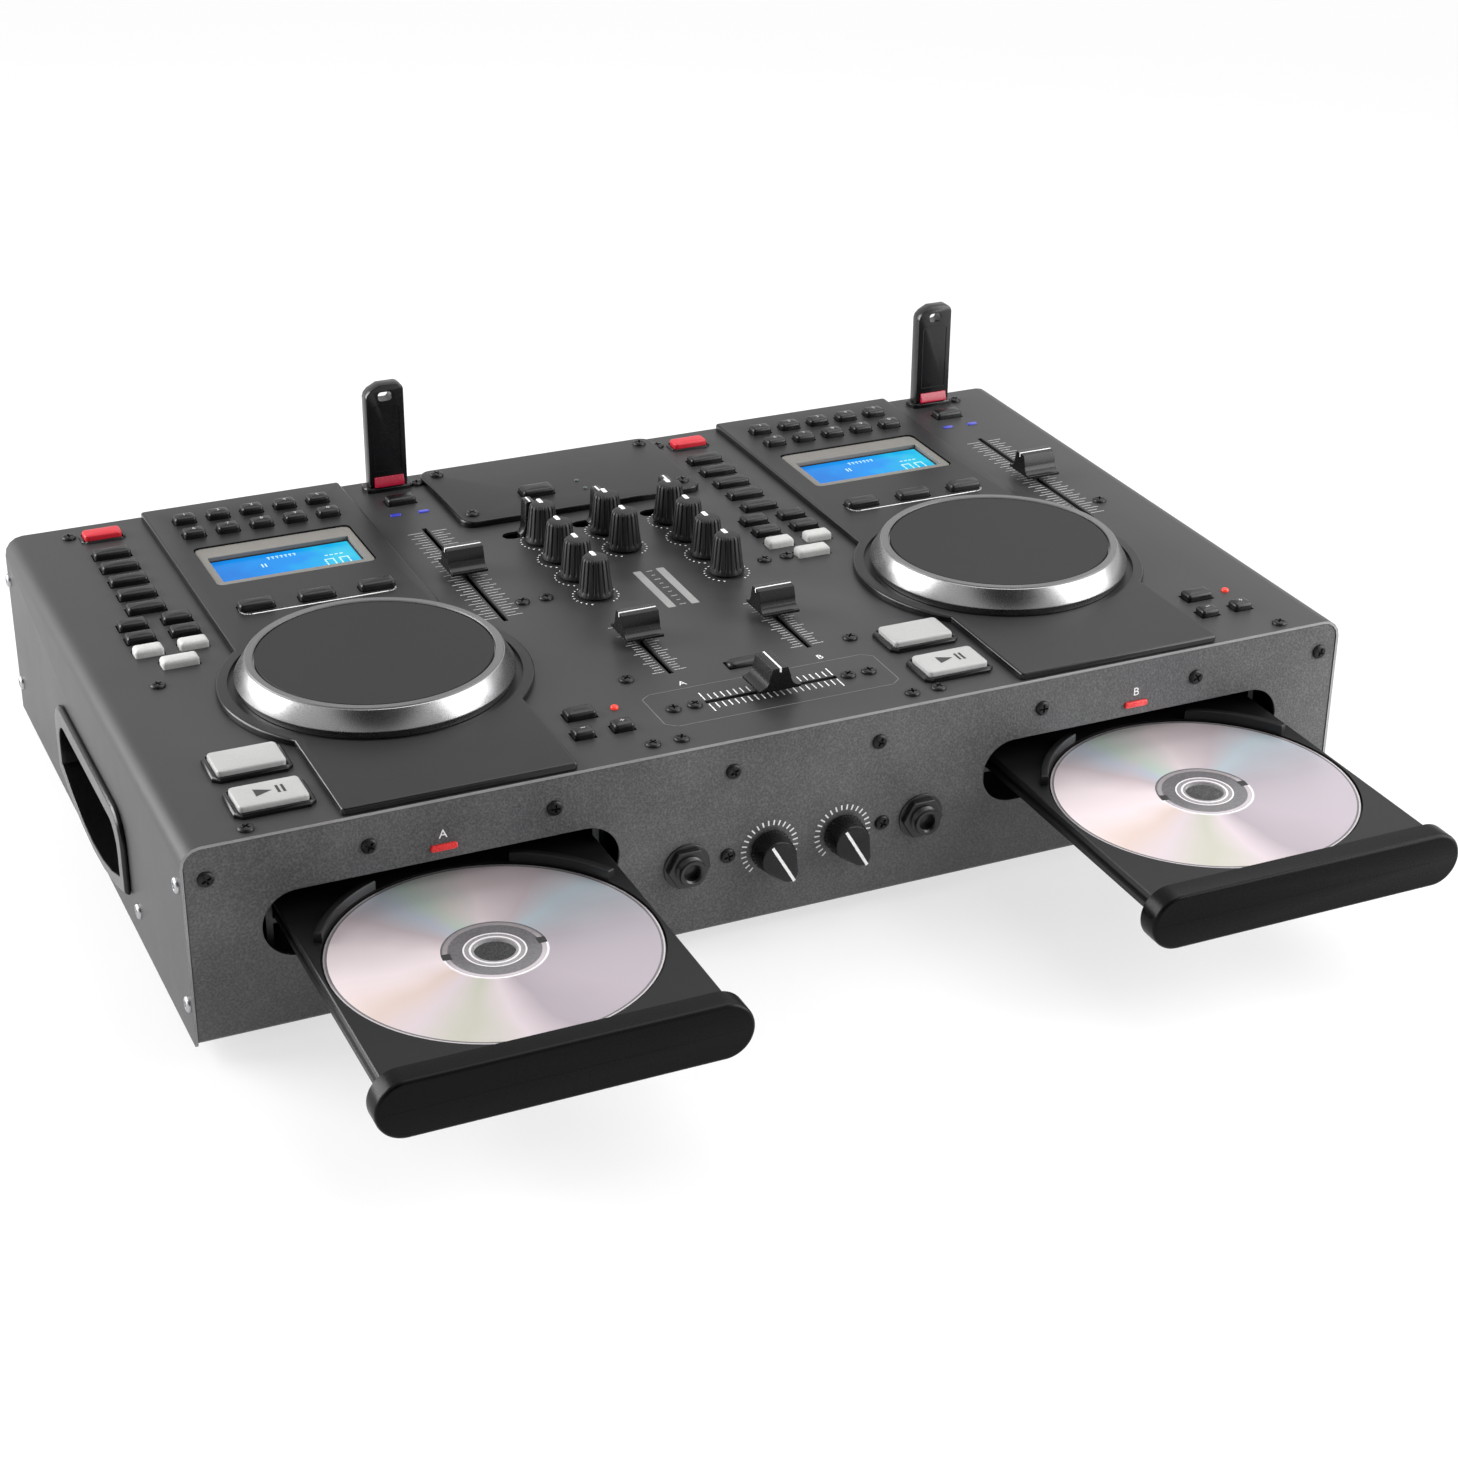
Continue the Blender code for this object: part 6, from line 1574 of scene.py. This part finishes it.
tray_plastic = finish(
    "tray_plastic", tone(11, 11, 12), tone(18, 18, 19), (0.3, 0.44), 0.0008, 0.00001, gloss=0.22,
)
fascia_gloss = finish(
    "fascia_gloss", tone(5, 5, 6), tone(8, 8, 9), (0.24, 0.34), 0.0012, 0.000004, gloss=0.1,
)
for deck in "ab":
    node = "tray_" + deck
    low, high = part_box(node)
    x, fascia_back, disc_y = (low.x + high.x) / 2, low.y + FASCIA_T, middle("disc_" + deck).y
    half, under, foot = TRAY_HALF_W, TRAY_TOP - TRAY_PLATE_T, TRAY_TOP - RAIL_H
    mid = (foot + TRAY_TOP) / 2
    right = [(half - RAIL_T, under), (half - RAIL_T, foot), (half - RAIL_EDGE, foot),
             (half, foot + RAIL_EDGE), (half, mid - GROOVE), (half - GROOVE, mid - GROOVE / 2),
             (half - GROOVE, mid + GROOVE / 2), (half, mid + GROOVE),
             (half, TRAY_TOP - TRAY_EDGE), (half - TRAY_EDGE, TRAY_TOP)]
    outline = [(x + u, z) for u, z in right] + [(x - u, z) for u, z in reversed(right)]
    bm = bmesh.new()
    run_back(bm, outline, fascia_back - FASCIA_LAP, fascia_back + TRAY_LEN)
    tray = new_mesh("tray_plate_" + deck, bm, tray_plastic)
    pocket = bmesh.new()
    rise(pocket, circle(x, disc_y, POCKET_R, 128), TRAY_TOP - POCKET_DEPTH, TRAY_TOP + SHEET)
    cut_away(tray, pocket)
    lean = math.degrees(math.asin(SLED_HALF_W / HUB_OPENING_R))
    keyhole = arc(x, disc_y, HUB_OPENING_R, 90 + lean, 450 - lean, 60)
    keyhole += [(x + SLED_HALF_W, disc_y + SLED_BACK), (x - SLED_HALF_W, disc_y + SLED_BACK)]
    opening = bmesh.new()
    rise(opening, keyhole, foot - SHEET, TRAY_TOP + SHEET)
    cut_away(tray, opening)
    settle(tray, node, "black_plastic", node)
    bm = bmesh.new()
    inner = POCKET_R + SEAT_GAP
    for start, end in GUIDE_ANGLES:
        wall = arc(x, disc_y, inner + GUIDE_T, start, end, 20)
        wall += arc(x, disc_y, inner, end, start, 20)
        rise(bm, wall, TRAY_TOP - GUIDE_ROOT, TRAY_TOP + GUIDE_H, GUIDE_EDGE)
    settle(new_mesh("tray_guides_" + deck, bm, tray_plastic), node, "black_plastic")
    outline = rounded(x, SLOT_Z - FASCIA_DROP, FASCIA_W, FASCIA_H, FASCIA_H / 2 - HAIR, 16)
    bm = bmesh.new()
    run_back(bm, outline, low.y, fascia_back, FASCIA_EDGE)
    settle(new_mesh("fascia_" + deck, bm, fascia_gloss), node, "black_plastic")


# Discs
# A pressed clear disc with its mirror-like foil seen from above: a clear hub with its rings, one
# of them with a painted reflection, the foil with soft rainbow fans painted into its colour as a
# reflection, and a bright clear rim.
DISC_T = 0.0012
DISC_STEPS = 160
ZONE_STEP = 0.00004
# The finishes of a disc, as places in the list of its materials
PALE, BRIGHT, DARK, MIRROR, FOIL = range(5)
# Outer radius and finish of each zone
DISC_ZONES = (
    (0.0075, PALE), (0.0084, PALE), (0.0092, BRIGHT), (0.0108, PALE), (0.0114, BRIGHT),
    (0.0167, DARK), (0.0184, MIRROR), (0.0192, BRIGHT), (0.0224, FOIL), (0.0586, FOIL),
    (0.0594, DARK), (0.0600, MIRROR),
)
# The ring with a painted reflection, bright in its near half and painted dark in its far half,
# and the two notches in the clear plastic inside it
REFLECTION_HALF_RING = (0.0184, 0.0192)
NOTCH_ANGLES = (-1, 174)
NOTCH_OUT_R = 0.0191
NOTCH_IN_R = 0.0158
# Half of what a notch takes up at its outer and at its inner edge, in degrees
NOTCH_OUT_HALF = 6
NOTCH_IN_HALF = 7
# How metallic the foil is, its least and greatest roughness, and how far its fans of painted
# rainbow reflection wander
FOIL_METAL = 0.55
FOIL_SHEEN = (0.26, 0.34)
FAN_DRIFT = 0.05
FAN_CLOUDS = 22.0

foil, tree = blank_material("foil")
place = add(tree, "TexCoord", {}).outputs["Object"]
# Painted reflection: a disc's rainbow fans, painted into the foil's colour by angle
angle = add(tree, "TexGradient", {"Vector": place}, gradient_type="RADIAL").outputs["Fac"]
wide = add(tree, "TexNoise", {
    "Vector": place, "Scale": FAN_CLOUDS, "Detail": 2.0,
}).outputs["Fac"]
shift = add(tree, "MapRange", {
    "Value": wide, "To Min": -FAN_DRIFT, "To Max": FAN_DRIFT,
}).outputs[0]
painted_rainbow_fan = add(tree, "Math", {0: angle, 1: shift}, operation="ADD").outputs[0]
lilac, rose, pale_rose = tone(178, 168, 176), tone(206, 193, 198), tone(238, 224, 227)
peach, mint, lime = tone(212, 193, 185), tone(204, 220, 210), tone(184, 184, 170)
mauve, dim_lilac = tone(166, 156, 163), tone(176, 168, 176)
sky, pale_sky = tone(188, 200, 208), tone(200, 208, 220)
colour = ramp(
    tree, painted_rainbow_fan, (0.0, pale_rose), (0.06, peach), (0.11, rose), (0.17, lime), (0.21, rose),
    (0.27, mauve), (0.36, lilac), (0.50, dim_lilac), (0.60, sky), (0.65, rose),
    (0.73, pale_rose), (0.79, mint), (0.83, pale_sky), (0.88, rose), (0.95, pale_rose),
    (1.0, pale_rose),
)
rough = add(tree, "MapRange", {
    "Value": wide, "To Min": FOIL_SHEEN[0], "To Max": FOIL_SHEEN[1],
}).outputs[0]
shader = add(tree, "BsdfPrincipled", {
    "Base Color": colour, "Metallic": FOIL_METAL, "Roughness": rough,
})
add(tree, "OutputMaterial", {"Surface": shader.outputs["BSDF"]})
clear_pale = finish(
    "clear_pale", tone(120, 118, 120), tone(150, 148, 150), (0.08, 0.16), 0.001, 0.000002,
)
clear_bright = finish(
    "clear_bright", tone(206, 200, 204), tone(228, 224, 226), (0.1, 0.18), 0.001, 0.000002,
)
clear_dark = finish(
    "clear_dark", tone(84, 82, 84), tone(108, 106, 108), (0.08, 0.16), 0.001, 0.000002,
)
clear_mirror = finish(
    "clear_mirror", tone(196, 188, 192), tone(216, 208, 212), (0.1, 0.2), 0.001, 0.000002,
    Metallic=0.7,
)
for deck in "ab":
    node = "disc_" + deck
    low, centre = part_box(node)[0], middle(node)
    profile = [(DISC_ZONES[0][0], 0.0)]
    for r, zone in DISC_ZONES:
        profile.append((r, DISC_T + (ZONE_STEP if zone in (BRIGHT, MIRROR) else 0.0)))
    bm = bmesh.new()
    turn(bm, profile + [(DISC_ZONES[-1][0], 0.0)], DISC_STEPS, closed=True)
    disc = new_mesh("disc_plate_" + deck, bm, clear_pale, clear_bright, clear_dark, clear_mirror,
                    foil, sharp=20)
    for polygon in disc.data.polygons:
        reach = math.hypot(polygon.center.x, polygon.center.y)
        if polygon.normal.z > SQUARE_ON:
            polygon.material_index = next(zone for r, zone in DISC_ZONES if reach < r)
            # Painted reflection: the ring's far half takes the dark finish, its near half stays
            # bright
            if REFLECTION_HALF_RING[0] < reach < REFLECTION_HALF_RING[1] and polygon.center.y > 0:
                polygon.material_index = DARK
        elif polygon.normal.z < -SQUARE_ON:
            polygon.material_index = FOIL
    bm = bmesh.new()
    for turned in NOTCH_ANGLES:
        notch = arc(0, 0, NOTCH_OUT_R, turned - NOTCH_OUT_HALF, turned + NOTCH_OUT_HALF, 6)
        notch += arc(0, 0, NOTCH_IN_R, turned + NOTCH_IN_HALF, turned - NOTCH_IN_HALF, 6)
        rise(bm, notch, DISC_T, DISC_T + MARK_H)
    notches = new_mesh("disc_notches_" + deck, bm, control_black)
    for piece in (disc, notches):
        piece.location = (centre.x, centre.y, low.z)
    settle(disc, node, "disc_foil", node)
    settle(notches, node, "disc_foil")


# Stick memories
# Black moulded sticks standing in the rear sockets. Each has a crimson slider at its foot, an
# inlaid outline on its face, and a loop hole in its head.
STICK_W = 0.0178
STICK_T = 0.0068
STICK_H = 0.0480
STICK_EDGE = 0.0008
STICK_TOP_R = 0.0035
STICK_SLANT = 0.0066
# The head's cut corner, as shares of its slant across and down
STICK_SLOPE = ((1, 0), (0.35, 0.34), (0.09, 0.62), (0, 0.9))
LOOP = (0.0064, 0.0042, 0.0016)
LOOP_DOWN = 0.0034
INLAY_HALF_W = 0.0066
INLAY_FOOT = 0.0070
INLAY_DOWN = 0.0052
INLAY_NECK_HALF_W = 0.0040
INLAY_NECK_H = 0.0012
INLAY_W = 0.0004
INLAY_IN = 0.0001
INLAY_OUT = 0.0002
# Width, how far it stands out, and height of the slider, and the height of its front
SLIDER = (0.0137, 0.0020, 0.0046)
SLIDER_FRONT = 0.0010
SLIDER_CROWN = 0.0006
SLIDER_FOOT = 0.0001
SLIDER_EDGE = 0.0003
# Width, thickness, length and corner radius of the plug, and how far it reaches into the stick
STICK_PLUG = (0.0120, 0.0045, 0.0118)
PLUG_R = 0.0005
PLUG_IN = 0.0004

stick_black = finish(
    "stick_black", tone(15, 15, 16), tone(24, 24, 25), (0.18, 0.3), 0.0008, 0.00001, gloss=0.4,
)
crimson = finish(
    "crimson", tone(150, 12, 44), tone(176, 22, 56), (0.2, 0.32), 0.0008, 0.00001,
)
for deck in "ab":
    node = "usb_stick_" + deck
    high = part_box(node)[1].z
    x, y, _ = middle(node)
    foot, half, depth = high - STICK_H, STICK_W / 2, STICK_T / 2
    outline = [(x - half, foot), (x + half, foot)]
    outline += arc(x + half - STICK_TOP_R, high - STICK_TOP_R, STICK_TOP_R, 0, 90, 8)
    outline += [(x - half + STICK_SLANT * across, high - STICK_SLANT * down)
                for across, down in STICK_SLOPE]
    rings = []
    for drawn_in, down in ((0, 1), (EDGE_MIDDLE, EDGE_MIDDLE), (1, 0)):
        at, ring = depth - down * STICK_EDGE, inset(outline, drawn_in * STICK_EDGE)
        rings.insert(0, [(u, y - at, v) for u, v in ring])
        rings.append([(u, y + at, v) for u, v in ring])
    bm = bmesh.new()
    loft(bm, rings)
    stick = new_mesh("stick_" + deck, bm, stick_black, sharp=40)
    loop_z = high - LOOP_DOWN - LOOP[1] / 2
    loop = bmesh.new()
    run_back(loop, rounded(x, loop_z, *LOOP), y - STICK_T, y + STICK_T)
    cut_away(stick, loop, 40)
    settle(stick, node, "black_plastic", node)
    w, neck, shoulder, face = INLAY_HALF_W, INLAY_NECK_HALF_W, loop_z - INLAY_DOWN, y - depth
    outer = [(x - w, foot + INLAY_FOOT), (x + w, foot + INLAY_FOOT), (x + w, shoulder),
             (x + neck, shoulder + INLAY_NECK_H), (x - neck, shoulder + INLAY_NECK_H),
             (x - w, shoulder)]
    inner = inset(outer, INLAY_W)
    bm = bmesh.new()
    loft(bm, [[(u, at, v) for u, v in ring] for ring, at in (
        (outer, face + INLAY_IN), (outer, face - INLAY_OUT), (inner, face - INLAY_OUT),
        (inner, face + INLAY_IN),
    )], closed=True)
    settle(new_mesh("stick_inlay_" + deck, bm, stick_black), node, "black_plastic")
    width, out, tall = SLIDER
    profile = [(face, foot + SLIDER_FOOT), (face - out, foot + SLIDER_FOOT),
               (face - out, foot + SLIDER_FRONT), (face - SLIDER_CROWN, foot + tall),
               (face, foot + tall)]
    bm = bmesh.new()
    loft(bm, [[(x + way * width / 2, v, w) for v, w in profile] for way in (-1, 1)])
    slider = new_mesh("stick_slider_" + deck, bm, crimson)
    soften(slider, SLIDER_EDGE)
    settle(slider, node, "red_key")
    width, thick, length = STICK_PLUG
    bm = bmesh.new()
    rise(bm, rounded(x, y, width, thick, PLUG_R), foot - length, foot + PLUG_IN)
    settle(new_mesh("stick_plug_" + deck, bm, nickel), node, "steel")


# Rear sockets
# Six phono sockets, nickel sleeves round red or white inserts, and a mains inlet with its three
# blades. They are soldered to the board and stand out through the rear panel.
SLEEVE_R = 0.0043
SLEEVE_BORE_R = 0.0036
FLANGE_R = 0.0058
FLANGE_T = 0.0007
FLANGE_FILLET = 0.0003
PHONO_OUT = 0.0080
PHONO_ROUND = 0.0004
INSERT_FOOT = 0.0060
INSERT_PROUD = 0.0002
INSERT_BORE_R = 0.0016
# Places of the inlet's blades from its middle, and their width, height and corner radius
BLADES = ((-0.0070, -0.0020), (0.0, 0.0022), (0.0070, -0.0020))
BLADE_SIZE = (0.0020, 0.0040, 0.0004)
BLADE_FRONT = 0.0020
BLADE_ROOT = 0.0170

red_insert = finish(
    "red_insert", tone(170, 24, 28), tone(192, 34, 38), (0.35, 0.5), 0.0005, 0.00001,
)
white_insert = finish(
    "white_insert", tone(200, 200, 198), tone(220, 220, 218), (0.35, 0.5), 0.0005, 0.00001,
)
for i, x in enumerate(PHONO_XS):
    bm = bmesh.new()
    turn(bm, [(SLEEVE_BORE_R, 0.0), (FLANGE_R, 0.0), (FLANGE_R, FLANGE_T),
              (SLEEVE_R, FLANGE_T + FLANGE_FILLET), (SLEEVE_R, PHONO_OUT),
              (SLEEVE_R - FLANGE_FILLET, PHONO_OUT + PHONO_ROUND),
              (SLEEVE_BORE_R, PHONO_OUT + PHONO_ROUND)], 40, closed=True)
    sleeve = new_mesh(f"phono_sleeve_{i}", bm, nickel)
    bm = bmesh.new()
    turn(bm, [(SLEEVE_BORE_R, INSERT_FOOT), (SLEEVE_BORE_R, PHONO_OUT + INSERT_PROUD),
              (INSERT_BORE_R + PHONO_ROUND, PHONO_OUT + INSERT_PROUD),
              (INSERT_BORE_R, PHONO_OUT - INSERT_PROUD), (INSERT_BORE_R, INSERT_FOOT)],
         40, closed=True)
    insert = new_mesh(f"phono_insert_{i}", bm, red_insert if i % 2 else white_insert)
    for piece in (sleeve, insert):
        lay_back(piece, x, BACK, PHONO_Z)
    settle(sleeve, "case", "steel")
    settle(insert, "case", "black_plastic")
for i, (u, v) in enumerate(BLADES):
    bm = bmesh.new()
    blade = rounded(INLET[0] + u, INLET[1] + v, *BLADE_SIZE)
    run_back(bm, blade, BACK - BLADE_ROOT, BACK - BLADE_FRONT)
    settle(new_mesh(f"inlet_blade_{i}", bm, nickel), "case", "steel")

low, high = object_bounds()
